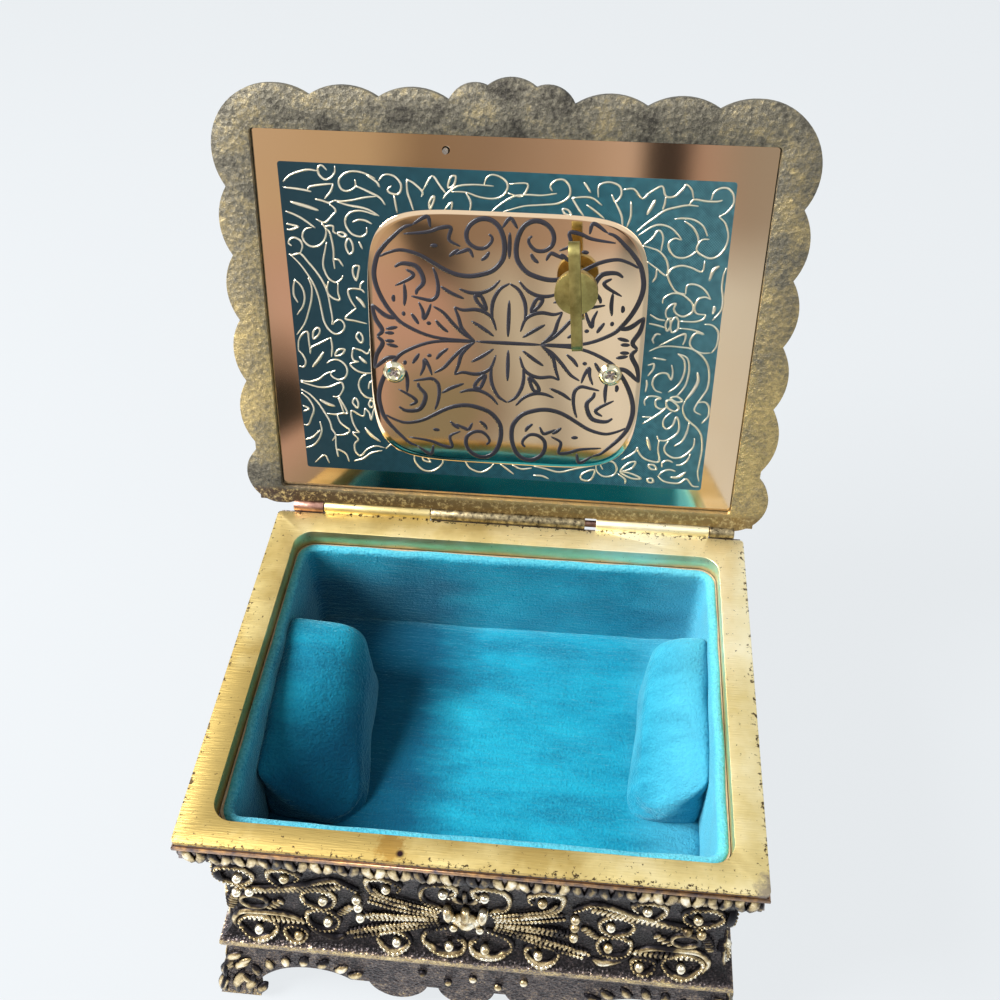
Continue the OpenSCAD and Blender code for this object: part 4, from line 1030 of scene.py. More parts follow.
# %% Field scrolls
LEFT = [
    [(-44.2, 67.1), (-42.7, 68.4), (-40.4, 69.3), (-38.8, 69.6), (-37.25, 69.4)],
    [(-35.4, 69.6), (-36.3, 70.5), (-37.1, 70.05), (-37, 68.8), (-36, 67.9), (-34.9, 68.1),
     (-33.9, 69.2), (-33.8, 70.5)],
    [(-44.2, 66), (-42.1, 65.9), (-40.2, 65.7), (-38.7, 65.4)],
    [(-39.5, 65.8), (-38.8, 66.4), (-36.8, 66.8), (-34.3, 67.1)],
    [(-34.3, 67.1), (-34.9, 65.6), (-36.2, 64.1)],
    [(-38.1, 64), (-36.8, 63.8), (-35.4, 63.4), (-34.2, 63.9)],
    [(-35.4, 63.3), (-34.1, 62), (-34.9, 60.9), (-36.4, 59.5), (-38.2, 60.1)],
    [(-44.2, 61.4), (-42.9, 61), (-41.3, 60.3), (-39.9, 59.4), (-38.4, 58.3)],
    [(-39.1, 58.4), (-40.4, 58), (-41.1, 56.9), (-40.9, 55.6), (-39.6, 54.6), (-37.9, 54.8),
     (-36.8, 55.9),
     (-36.3, 57.3), (-36.4, 58.4), (-37.1, 59.4)],
    [(-44.2, 58.9), (-43.4, 58.8), (-41.8, 58.4), (-43.4, 57.8), (-44.2, 57.8)],
    [(-43.5, 54.5), (-44.1, 55.1), (-43.6, 55.9), (-42.7, 56.2), (-41.6, 55.6), (-41.3, 54.5),
     (-41.8, 53.1)],
    [(-44.2, 52.8), (-43.2, 52.7), (-41.8, 53), (-40.4, 51.4), (-39.1, 49.8), (-37.7, 47.6),
     (-36.8, 45.3),
     (-36.4, 42.6), (-36.1, 39.8), (-36.3, 38.3)],
    [(-43.9, 52.7), (-42.1, 50.9), (-40.4, 48.4), (-39.3, 46.2), (-38.6, 43.7), (-38.2, 40.9),
     (-37.8, 38.7),
     (-36.8, 37), (-35.4, 36.3), (-34.1, 37), (-33.6, 38.3), (-34.3, 39.4), (-35.4, 39.2),
     (-36.1, 38.3)],
    [(-40.6, 48.1), (-40, 46.2), (-40.2, 43.7), (-41, 40.9), (-42.1, 38.1), (-43.9, 35.7)],
    [(-43.4, 47.6), (-42.1, 46.2), (-41.6, 44.2), (-42.1, 42), (-43.5, 40.1)],
    [(-43.4, 47.6), (-43.8, 45.9), (-43.8, 44.2), (-43.1, 42.7)],
    [(-36.3, 55.6), (-36.8, 53.7), (-37.3, 51.4), (-37.1, 49.8), (-36.3, 48.1), (-34.9, 47.4),
     (-33.8, 48.1), (-33.4, 48.9)],
    [(-36.4, 58.4), (-35.6, 57.6), (-35.2, 55.9), (-35, 53.9), (-35.1, 52), (-35, 50.2)],
    [(-35, 52.1), (-34.1, 52.1), (-33.2, 50.8)],
    [(-36.4, 47.6), (-36.8, 46.2), (-36.6, 44.8), (-35.4, 43.9), (-34.3, 43.8), (-34.6, 45.3),
     (-34.5, 47.3)],
    [(-37.1, 59.2), (-36.4, 58.7), (-35.6, 58.9), (-34.8, 58.8), (-34.8, 57.8), (-34.2, 57.3)],
    [(-34, 57.4), (-33.1, 57.7), (-32.2, 57.1), (-33.1, 56.8), (-34, 57.4)],
    [(-31.8, 56.5), (-32.5, 55.2), (-31.9, 53.4), (-31.1, 54), (-31.1, 55.4), (-31.8, 56.5)],
    [(-26, 68.4), (-27.7, 69.2), (-29.3, 69.6), (-31, 69.5), (-32.4, 68.8), (-33.2, 67.6),
     (-32.8, 66.2),
     (-31.6, 65.8), (-30.4, 66.3), (-29.9, 67), (-30, 68.1)],
    [(-30, 66.9), (-28.2, 66.2), (-25.4, 64.9), (-24.2, 63.4)],
    [(-26, 65), (-28.2, 64.7), (-30.7, 64.1), (-32.7, 63.8), (-34.2, 63.9)],
    [(-33.8, 63.7), (-31.6, 63.1), (-29.3, 62.8), (-27.4, 62.3), (-25.5, 61.2)],
    [(-26, 61.3), (-27.9, 61.9), (-29.6, 62.1), (-31.3, 61.6), (-32.3, 60.3), (-32.1, 58.7),
     (-31, 57.4),
     (-29.3, 57), (-28.2, 57.7), (-28.1, 58.9)],
    [(-30.9, 59.8), (-29.6, 60.3), (-28.2, 60.2), (-27, 59.6)],
    [(-29.8, 56), (-29.1, 54.5)],
    [(-30, 51), (-31.1, 50.8), (-31.3, 49.5), (-30.7, 48), (-30.2, 49.8), (-30, 51)],
    [(-29.1, 45.5), (-30, 46.2), (-32.4, 46), (-32.1, 43.9), (-31, 42.1)],
    [(-31, 42.1), (-32.1, 41.2), (-33.4, 39.8), (-31.3, 39.4), (-28.9, 38.9)],
    [(-29.1, 48), (-29.8, 47.3), (-30, 46.3)],
    [(-39.3, 37.5), (-40.3, 36.6), (-40.4, 35), (-39.3, 35.9), (-38.9, 36.9), (-39.3, 37.5)],
    [(-43.8, 32.3), (-43.6, 34.3), (-42.8, 35.8), (-41.6, 36.5), (-41.4, 34.6), (-41.3, 31.6)],
    [(-41.3, 31.6), (-41, 33), (-39.1, 34.1), (-36.7, 35.5)],
    [(-36.7, 35.5), (-36.5, 33.4), (-36.8, 31.2)],
    [(-43.8, 32.3), (-42.9, 31.2), (-42.4, 29.8), (-42.9, 28.6), (-43.9, 28.7)],
    [(-37.9, 29.7), (-36.6, 30.5), (-35.2, 30.5), (-33.9, 29.4), (-33.6, 27.9), (-34.3, 26.5),
     (-35.7, 26.1),
     (-37, 26.8), (-37.1, 27.6), (-36.1, 28.2)],
    [(-33.9, 33), (-35.3, 32.8), (-36, 31.5), (-34.6, 31.8), (-33.9, 33)],
    [(-43.9, 25.4), (-41.8, 25.3), (-39.9, 25.9), (-38.5, 27.1), (-37.1, 27.8)],
    [(-43.9, 25.1), (-42.1, 24.6), (-39.9, 24.1), (-37.7, 24.3), (-36, 25.1), (-35, 25.4),
     (-34.6, 24.3),
     (-35.2, 22.9), (-35.9, 22.1), (-37.1, 22.1)],
    [(-35.7, 21.9), (-34.9, 20.4), (-34.1, 18.4), (-35, 18.3), (-36.6, 17.9), (-38.6, 18)],
    [(-35.9, 21.8), (-35.3, 20.1), (-34.9, 18.4)],
    [(-43.9, 23.4), (-42.1, 22.3), (-40.4, 20.4), (-39.1, 18.2), (-38.1, 16.2), (-37.7, 14.3),
     (-37, 12.9), (-37.8, 11.5)],
    [(-43.9, 22.6), (-42.4, 21.2), (-41.4, 19), (-42.1, 16.8), (-42.9, 15.1), (-43.9, 15)],
    [(-43.8, 19.6), (-42.5, 18.9), (-43.8, 18.2)],
    [(-36.4, 17.8), (-35.7, 15.9), (-33.8, 14.3), (-34.9, 13.2), (-36.8, 12.9)],
    [(-37, 12.8), (-37, 9.6), (-36.3, 9.3), (-34.9, 8.4), (-34.3, 6.5)],
    [(-37, 9.6), (-36.7, 7.6)],
    [(-43.8, 11.4), (-42.1, 12.1), (-40.4, 13.9)],
    [(-40.3, 15.9), (-40, 14), (-40.7, 11.8), (-42.1, 10.1), (-43.8, 9.4)],
    [(-42, 5.9), (-39.8, 7.8), (-38.8, 5.9)],
    [(-32.1, 33.4), (-32.4, 31.8), (-32.1, 30.7), (-31, 30.4)],
    [(-31, 30.4), (-32.9, 29.8), (-31.6, 28.4), (-29.9, 27.9), (-27.9, 28)],
    [(-32.1, 33.4), (-30.4, 33), (-29.1, 32.3), (-28.5, 33.4)],
    [(-30.6, 36.9), (-31.3, 35.9), (-30.3, 34.6), (-29.9, 35.8), (-30.6, 36.9)],
    [(-29.3, 27.9), (-30.7, 26.8), (-31.3, 25.1), (-30.7, 23.2), (-29.3, 22.2), (-27.7, 22.3),
     (-26.8, 23.2)],
    [(-27.8, 26.6), (-28.9, 25.7), (-29.2, 24.3)],
    [(-32.2, 22), (-32.8, 20.9), (-31.8, 19.7), (-31.6, 21), (-32.2, 22)],
    [(-28.8, 21.7), (-29.3, 20.7), (-28.7, 20), (-28.2, 21), (-28.8, 21.7)],
    [(-26.8, 20.4), (-28.2, 19.6), (-28.9, 17.1), (-29.3, 18.7), (-30.2, 19.8)],
    [(-30.2, 19.8), (-30.7, 17.8), (-33.1, 19), (-33.1, 16.8), (-32.4, 14.8), (-31.6, 13.9)],
    [(-31.6, 13.9), (-33.1, 13.6), (-32, 12.2), (-32.9, 10.9), (-32.7, 9), (-31.6, 8.2),
     (-30.2, 9.8),
     (-28.2, 10.8), (-26.3, 10.5)],
    [(-33.2, 6.8), (-31, 7.6), (-29.3, 9), (-26.8, 9.8)],
]
RIGHT = [
    [(26.1, 67.6), (27.4, 68.5), (28.8, 69.1), (29.6, 67.3), (31.3, 67.4), (32.7, 68.9),
     (33.2, 69.6), (34.3, 68.7), (34.8, 67)],
    [(29.6, 67.3), (29.5, 65.9), (29.2, 64.8)],
    [(24.6, 60.3), (26, 61.7), (27.7, 63.1), (29.6, 64.6), (31.6, 65.3), (33.8, 65.8),
     (35.9, 65.7)],
    [(34.1, 65.9), (34.9, 66.9), (37.1, 66.7), (39.1, 66.7), (40.2, 67)],
    [(38.1, 67), (38.5, 68.4), (39.6, 69.2), (41, 69.2), (42.1, 68.1), (42.3, 66.4), (41.3, 64.8),
     (39.9, 63.9)],
    [(39.9, 63.9), (41.3, 62.6), (42.1, 60.3), (41.8, 58.1), (40.7, 56.4), (39.1, 55.8),
     (37.4, 56.4),
     (36.4, 57.3), (36.7, 58.7), (37.4, 59.4), (38.6, 59.5)],
    [(31.6, 63.1), (33.2, 63.3), (35.2, 63.1), (37.1, 62), (38.2, 60.1)],
    [(33.5, 62.8), (35.2, 61.7), (36.3, 60.1), (36.6, 58.7)],
    [(25, 59.6), (27.4, 61.4), (29.1, 61.9), (31, 61.4), (32.4, 60.3), (33.4, 59.1)],
    [(33.2, 59.1), (32.1, 59.4), (31.1, 58.7), (31, 57.6), (32.1, 56), (33.8, 55.6), (35.4, 56.2),
     (36.4, 57.1)],
    [(26, 57.7), (27.7, 57.3), (29.3, 56.7), (30.7, 55.3), (31.3, 53.7), (31.3, 52.3),
     (31.8, 50.9), (33.2, 48.9), (35.2, 48.4)],
    [(26.1, 57.8), (27.7, 59.2), (28.8, 60.8), (29.8, 59.5), (29.6, 56.7)],
    [(27.1, 54.6), (29.1, 53.3), (31, 52), (32, 53.4), (33.8, 54.1), (35.7, 53.8), (37.9, 53.1),
     (38.2, 55.3)],
    [(29.1, 53.3), (29.1, 51.7), (28.5, 50.5)],
    [(30.9, 46.3), (31, 47.3), (32.4, 48.4), (34.1, 48.4), (35.4, 47.8), (36.6, 46.7), (37, 45.6),
     (36.6, 44.5),
     (35.2, 43.8), (33.9, 44.2), (33.2, 45.3), (33.5, 46.4), (32.5, 46), (31.7, 44.8), (32, 43.4),
     (33.1, 43.4)],
    [(35.2, 48.4), (35.3, 50.1), (36.3, 50.5), (37.7, 50.2), (39.1, 49.2), (40.2, 47.6)],
    [(40.2, 47.6), (39.1, 48), (37.9, 47.6), (37.3, 46.4), (37.3, 45.3), (37.9, 44.5),
     (39.6, 44.4)],
    [(28.6, 43.9), (30.2, 43), (31.7, 42.8)], [(28.6, 42), (30.2, 41.7), (31.8, 41.3)],
    [(39.6, 44.4), (39.1, 43.4), (37.4, 42.8), (34.6, 42.8)],
    [(32.4, 43.2), (31.9, 42), (32.3, 40.6), (32.9, 41.8), (32.4, 43.2)],
    [(33.7, 43.6), (32.9, 42.2), (33.2, 40.4), (34.3, 41), (34.4, 42.7), (33.7, 43.6)],
    [(34.6, 41.3), (36.6, 41.2), (38.2, 40.9), (39.6, 40.3), (38.2, 40.5), (37.3, 39.5),
     (37.1, 38.1), (37.9, 37),
     (39.6, 36.3), (41.4, 36.4)],
    [(39.5, 42.4), (41, 42.3), (42.3, 41.2), (42.6, 39.8), (42.4, 37.8), (41.6, 36.4)],
    [(42.5, 54.1), (42.1, 52.6), (42.1, 50.1), (42.6, 47.6), (42.4, 45.3), (41, 43.3)],
    [(31, 37.4), (32.7, 38.4), (34.3, 39.4), (35.9, 40.2), (36.1, 39.2), (35.7, 37.8)],
    [(31.1, 39.8), (30.2, 39.8), (29.6, 38.7), (29.9, 37.8)],
    [(29.1, 36.1), (31, 37.1), (33.2, 37.4), (35.4, 37.3), (37.4, 37.1), (39.1, 36.2), (40.4, 35),
     (41.4, 33.2),
     (41.8, 30.7), (41.6, 28.4), (40.7, 26.5), (39.8, 24.8), (39.6, 23.4), (41, 22.6)],
    [(30, 34.7), (32.7, 34.4)],
    [(34.9, 35.9), (36.3, 34.6), (36.7, 32.6), (36.3, 30.4), (35.4, 28.7), (33.8, 27.3)],
    [(34.9, 35.9), (36.8, 35.1), (37.5, 33.2), (37.5, 30.9), (37, 28.7), (35.6, 26.4)],
    [(33.9, 33.4), (34.3, 31.8), (34.1, 30.1), (33.2, 31.4), (31.8, 31.4), (30.7, 30.5),
     (30.4, 29), (31.1, 27.6), (32.5, 27.1)],
    [(29.1, 33), (30.3, 33.4), (30.2, 32.1), (29.3, 30.7)],
    [(29.1, 29.8), (29.3, 28.7), (29.1, 27.1)],
    [(37.5, 25.7), (37.1, 24), (37.7, 22.1), (38.8, 20.9), (40.4, 19.6), (41.6, 17.9),
     (42.1, 15.1), (42, 12.1),
     (41.8, 9), (42.3, 6.9)],
    [(34.4, 26), (35.7, 26.4), (36.9, 25.5), (35.7, 25.2), (34.4, 26)],
    [(33.6, 25.2), (34.6, 25.5), (36.3, 24), (35.6, 23.1), (34.1, 23.7), (33.6, 25.2)],
    [(29.3, 24), (29.1, 25.1), (29.9, 26.1), (31.3, 26.2), (32.4, 25.8), (31.4, 25.4), (31.6, 24),
     (32.7, 23.4), (33.8, 23.9)],
    [(29.1, 19.8), (31, 21.2), (32.9, 22.9), (33.8, 24)], [(28.9, 21.4), (31.3, 21.4)],
    [(34.9, 22.9), (33.5, 21.2), (33.5, 19.6), (34.3, 18.9), (35.4, 19.8), (36, 21.8),
     (36.7, 20.4), (36.7, 18.4),
     (35.7, 17.1), (34.3, 16.2), (32.9, 16.2), (32.4, 17.2)],
    [(32.9, 16.2), (32.9, 14), (33.4, 11.2), (31.6, 11.1), (29.9, 11.8), (28.8, 13.2),
     (28.5, 14.3)],
    [(28.5, 14.3), (27.9, 12.9), (25.4, 11)],
    [(34.9, 16.2), (34.2, 14.6), (34.6, 13.2), (36.3, 12.2), (38.2, 12.6), (39.6, 14),
     (40.3, 15.4), (40.3, 17.1)],
    [(38.8, 20.8), (38.5, 18.4), (37.7, 16.2), (36.3, 15.1)],
    [(39.8, 13.4), (39.3, 11.8), (38.2, 10.7), (37.1, 10.5)],
    [(40.2, 25.4), (41.6, 25.5), (42.5, 24.3), (42.5, 22.3), (41.4, 20.7)],
    [(33.5, 7.6), (34.3, 8.7), (35.7, 9.3), (37.1, 9)],
    [(33.4, 7.6), (34.6, 6.5), (36.3, 6.1), (38.2, 6.2), (39.6, 7.3), (41, 5.7), (42.4, 5.6)],
    [(34.1, 9.8), (34.1, 10.9), (35.2, 11.5), (36.3, 11.1)],
    [(31.2, 10.1), (32.3, 10.2), (33, 9.2), (31.8, 9.2), (31.2, 10.1)],
    [(31.3, 6.7), (32.2, 6.9), (32.6, 6.1), (31.7, 5.9), (31.3, 6.7)],
    [(25.3, 8.2), (26.8, 10.2), (28.4, 10.7), (27.6, 9), (25.3, 8.2)],
    [(25.3, 8), (27.6, 7.8), (29.9, 6.7), (27.6, 6.7), (25.3, 8)],
    [(24.9, 7.5), (26.5, 6.3), (26.5, 5.2)],
]
TOP = [
    [(-27.7, 69), (-25.8, 67.8), (-25.2, 66.8)],
    [(-25.4, 68), (-24.2, 69.2), (-22.3, 69), (-21, 67.4), (-21.5, 65.7), (-22.9, 65.7),
     (-23.7, 66.3), (-22.9, 67.2)],
    [(-22.5, 65.5), (-21.9, 62)],
    [(-19.9, 68.5), (-18.5, 67.8), (-16.9, 66.3), (-17.1, 65.3)],
    [(-16.8, 66.5), (-15, 69.3), (-13.5, 67.6), (-12.3, 66.1)],
    [(-19.9, 68.5), (-19.8, 66.1), (-19.2, 64.2), (-18.7, 62.6)],
    [(-10.4, 69.4), (-11.4, 69.2), (-11.9, 67.3), (-10.8, 67.7), (-10.4, 69.4)],
    [(-14.8, 65.5), (-15.6, 64.2), (-15.4, 63), (-14.6, 64.9), (-14.8, 65.5)],
    [(-12.9, 65.1), (-11.9, 66.3), (-10, 67.6), (-6.9, 68), (-3.1, 67.9)],
    [(-11.3, 66.5), (-8.5, 66.5), (-5.8, 65.7), (-3.1, 65.5), (-1.2, 66.3), (-0.4, 68),
     (-1.2, 69.3), (-3.1, 70),
     (-4.4, 69.5), (-5, 68)],
    [(-8.5, 66.5), (-7.5, 64.7), (-7.7, 62.9)], [(-12.7, 62.9), (-11.2, 64.5), (-11.3, 63)],
    [(-3.5, 63), (-1.5, 64.7), (0.8, 66.1), (3.3, 66.5), (6.2, 66.5), (9, 67)],
    [(-0.2, 68.4), (3.3, 68.6), (2.9, 66.8), (1.9, 66.1), (-0.4, 66.7)],
    [(-1.2, 63.1), (2.7, 64.3), (6.2, 64.7), (9.2, 65.1), (11.2, 66.3), (11.5, 68), (10.4, 69.5),
     (8.8, 69.5),
     (7.7, 68.4), (8.1, 67.4)],
    [(11.9, 66.3), (15.4, 66.5), (17.7, 65.1)],
    [(16.9, 66.6), (16.9, 68.8), (18.8, 69.5), (20.8, 68.8), (21.2, 67.2), (20.2, 65.9),
     (19.4, 67.2)],
    [(11.9, 66.3), (13.1, 64.5), (14.4, 62.8)], [(14.8, 65.1), (16.7, 63.8), (18.3, 62.6)],
    [(20, 66.1), (21.5, 63.4), (21.9, 61.1)], [(23.1, 66.1), (23.3, 63.4), (22.7, 61.1)],
    [(21.5, 68.2), (23.5, 68.4), (25.2, 66.7), (26.5, 68)],
    [(10.3, 64.1), (11.3, 63.9), (11.9, 63), (10.7, 63.2), (10.3, 64.1)],
    [(14, 69.3), (14.6, 68.6), (15.4, 67.4)],
]
FOOT = [
    [(-26, 10.3), (-24.3, 11.7), (-23.2, 10.3), (-20.8, 10.3), (-19.1, 11.5)],
    [(-19.7, 9.8), (-19.5, 7.5), (-17.8, 5.6), (-15.5, 5.6), (-13.5, 7.5), (-13.5, 9.8)],
    [(-17.6, 10.5), (-17.8, 8.2), (-16.2, 7.7), (-17, 9)],
    [(-8.5, 8.4), (-7.4, 6.7), (-5.1, 5.9), (-3.2, 6.9), (-2.2, 8.2)],
    [(-0.8, 8.2), (0.7, 7.1), (2.2, 5.9)], [(1.8, 8.2), (3.8, 7.3), (6.1, 7.7)],
    [(6.5, 8.2), (9.2, 7.7), (12.2, 7.1), (15.7, 8.2), (19.5, 9.2)],
    [(6.5, 5.9), (8.4, 5.9), (9.9, 5.3)],
    [(19.5, 8.2), (17.2, 7.1), (17, 5.7), (18.8, 5.5), (19.7, 7.1), (19.5, 8.2)],
    [(19.9, 9.8), (20.3, 7.8), (21.8, 6.7), (23.8, 7.1), (24.5, 8.6), (23.8, 10.2), (22.2, 10.5),
     (20.9, 9.8), (21.5, 8.4)],
]
HEAVY = [
    [(-43.1, 63.3), (-41, 62.8), (-39.1, 62.3), (-37.5, 61.8)],
    [(-30.9, 44.5), (-30, 43.7), (-29.1, 42.3)],
    [(-41.1, 28.6), (-39.6, 30.4), (-38.4, 32.2)], [(-40, 21.2), (-38.5, 20.4), (-36.7, 19.8)],
    [(-30.9, 31.5), (-29.3, 30.1)], [(-30.4, 15.1), (-29.1, 13.4), (-27.1, 11.9)],
    [(27.7, 66.6), (27.1, 65.3), (26.3, 63.7)], [(41.1, 54.4), (40, 53.4), (39.5, 51.3)],
    [(41, 46.3), (41.1, 45.6), (40.9, 44.6)], [(39.3, 32.1), (39.6, 30.1), (38.8, 27.9),
     (37.5, 25.7)],
    [(30.3, 16.8), (31.3, 13.7)], [(36.1, 7.5), (37.7, 7.6), (39.3, 9)],
]


FIELD_TOP = -0.08


def on_field(p):
    """A drawing point on the printed field."""
    return LID @ Vector((p.x, p.y, FIELD_TOP - p.z))


bm = strokes(LEFT + RIGHT + TOP + FOOT, 0.23, taper=0.5, flat=0.25, round_=0, steps=4)
merge(bm, strokes(HEAVY, 0.36, taper=0.35, flat=0.16, round_=0, steps=4))
piece("field_scrolls", bm, "lid", bare_line, place=on_field)

# %% [markdown]
# ## Screws with crossed slots
# Two bright pan head screws hold the movement. A head is a profile turned round its axis: a dished
# middle, a raised ring and a rounded edge. The cross could be cut out of it, but two thin dark
# blocks laid over each other look the same from every side and leave the head whole. Their dark is
# painted shade, standing for the shade inside the cut cross.

# %% Screw heads
# Where the two screws are on the plate, the turns of a cross's two slots in degrees, and the
# slots' length, width and depth.
SCREWS = [(-23.5, 28.6), (21.6, 30.6)]
SLOT_TURNS = (35, 125)
SLOT_SIZE = (2.1, 0.5, 0.3)
SLOT_W = -0.8
head = bmesh.new()
profile = [(0, -0.75), (1.0, -0.8), (1.3, -1.2), (1.5, -1.25), (1.75, -1.1), (2.15, -0.75),
           (2.45, -0.3), (2.5, 0.0), (1.2, 0.0), (1.2, 3.0), (0, 3.0)]
verts = [head.verts.new((r, 0, w)) for r, w in profile]
edges = [head.edges.new(pair) for pair in zip(verts, verts[1:])]
bmesh.ops.spin(head, geom=verts + edges, cent=(0, 0, 0), axis=(0, 0, 1), angle=2 * math.pi,
               steps=32, use_merge=True, use_duplicate=False)
bmesh.ops.remove_doubles(head, verts=head.verts, dist=1e-4)
head_mesh = bpy.data.meshes.new("screw_head")
head.to_mesh(head_mesh)
head.free()
bm = bmesh.new()
for u, v in SCREWS:
    one = bmesh.new()
    one.from_mesh(head_mesh)
    merge(bm, one, Matrix.Translation((u, v, 0)))
screws = piece("pan_head_screws", bm, "lid", plain["nickel_plate"], place=on_lid)
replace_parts(screws, "movement_screws")
# Painted shade: dark blocks where the cross's recess is dark by shade.
bm = bmesh.new()
for u, v in SCREWS:
    for turn in SLOT_TURNS:
        bar = bmesh.ops.create_cube(bm, size=1)["verts"]
        bmesh.ops.scale(bm, vec=SLOT_SIZE, verts=bar)
        bmesh.ops.rotate(bm, matrix=Matrix.Rotation(math.radians(turn), 3, "Z"), verts=bar)
        bmesh.ops.translate(bm, vec=(u, v, SLOT_W), verts=bar)
cross_shade_blocks = piece("screw_cross_shade", bm, "lid", blackened, place=on_lid, smooth=False)

# %% [markdown]
# ## Stop spring
# A small coil spring pushes the stop wire out through the plate. When the lid shuts, the rim
# presses the wire in and the coil shortens. Turning each ring closer would need a moving curve, so
# the copy is one helix of fixed length, with a mesh of its own.

# %% Coil
# The wire's place on the plate, the spring's two ends behind it, its radius and its wire's.
WIRE_AT = (-12.28, 74.2)
SPRING_W = (4.9, 8.4)
SPRING_R, SPRING_WIRE = 1.0, 0.16
turns, per_turn = 4, 12
length = SPRING_W[1] - SPRING_W[0]
helix = []
for i in range(turns * per_turn + 1):
    turn = 2 * math.pi * i / per_turn
    helix.append((WIRE_AT[0] + SPRING_R * math.cos(turn), WIRE_AT[1] + SPRING_R * math.sin(turn),
                  SPRING_W[0] + SPRING_WIRE
                  + (length - 2 * SPRING_WIRE) * i / (turns * per_turn)))
bm = strokes([helix], SPRING_WIRE, taper=1, steps=1)
spring = piece("stop_spring", bm, "lid", plain["polished_spring_steel"], place=on_lid)
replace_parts(spring, "wire_spring")
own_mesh(spring)

# %% [markdown]
# ## Scrolls, rings and pearls on the walls
# Each wall carries the same cast ornament: a boss with three prongs, beaded scrolls that spring
# from it, rings with a pearl in each and ribbed leaves between them. Half of it is drawn and
# mirrored. The end walls are shorter, so their drawing is drawn together, with round pearls. It
# could be a carved displacement, but strokes keep the undercut edges of a casting.

# %% Drawing of the wall
# Stems and ropes are lines of points. A ring is its middle and its two half widths, and ribs are
# the two ends of a row and its width.
STEMS = [
    [(4.5, 38.6), (7.8, 41.5), (8.4, 45.4), (7.2, 49.2), (4.5, 50.4), (2, 49.4), (1.6, 46.8),
     (3, 44.8)],
    [(5.2, 36.1), (12.7, 39.2), (17, 42.3), (18.4, 46.2), (18.1, 49.5), (15.9, 50.6), (13.1, 49.5),
     (12, 47.3), (12.9, 45.2)],
    [(35.6, 42.6), (37.4, 46.6), (36.3, 50), (33, 50.6), (31.2, 48.2), (32.2, 46.4)],
    [(3.8, 31.5), (7.7, 29.3), (8.9, 25.8), (7, 23.3), (3.6, 22.6), (0.9, 23.6), (0.7, 26.2),
     (2.2, 28)],
    [(20.5, 43.6), (24.5, 47.2), (27.5, 46.2), (33.4, 42.8), (42.4, 40.6), (46, 42.2)],
    [(24.9, 24.4), (26.8, 23.6), (30, 24.6), (32.4, 27)],
    [(32.4, 27.6), (36, 30), (41, 30.4), (45.5, 29.8), (47.6, 26.5), (46.6, 23.2)],
]
RINGS = [
    (44.3, 45.9, 3.7, 3.9), (28.9, 38.4, 3.3, 3.9), (28.9, 30, 3.3, 3.8), (42.3, 34.5, 2.7, 2.5),
    (42.6, 25.6, 4.0, 3.4), (35, 24.5, 2.4, 2.2), (14.9, 25, 3.3, 2.9),
]
PEARLS = [
    (3.9, 47.6), (14.6, 47.6), (33.8, 48.4), (43.2, 46.4), (27.7, 39.2), (27.7, 30.4),
    (20.9, 37.8),
    (20.9, 33.4), (42.3, 25.4), (34.2, 24.6), (14.2, 25.4), (3.6, 25.6), (41.9, 40.4),
    (44.6, 39.6), (20.9, 41.2),
]
ROPES = [
    [(5.6, 36.8), (12, 38.4), (18.8, 41.8)], [(5.8, 35.9), (12.5, 36.9), (19.4, 39.6)],
    [(5.6, 34.9), (12, 34.6), (19, 34.2)], [(5.6, 34.2), (12, 33.2), (19, 32)],
    [(5.4, 33.4), (12, 31.2), (19, 28.6), (24.5, 26)],
    [(5.2, 32.6), (11, 29.8), (17.5, 27), (23.5, 24.6)],
    [(5, 37.6), (10.5, 40), (15.6, 42.6), (17.3, 46)],
]
RIBS = [
    (8, 34.1, 19.5, 32.9, 2.6), (10, 31.2, 23, 26.4, 2.4), (24, 44.6, 41, 39.4, 3.2),
    (33, 28.4, 44, 28.2, 2.4), (22.6, 36, 25, 33, 2.0), (36.5, 35.6, 39.2, 33, 2.4),
    (45.6, 37, 47.2, 32, 2.2),
]


# %% Wall ornament
LONG_WALLS = ("front", "back")
RIB_PITCH = 0.95


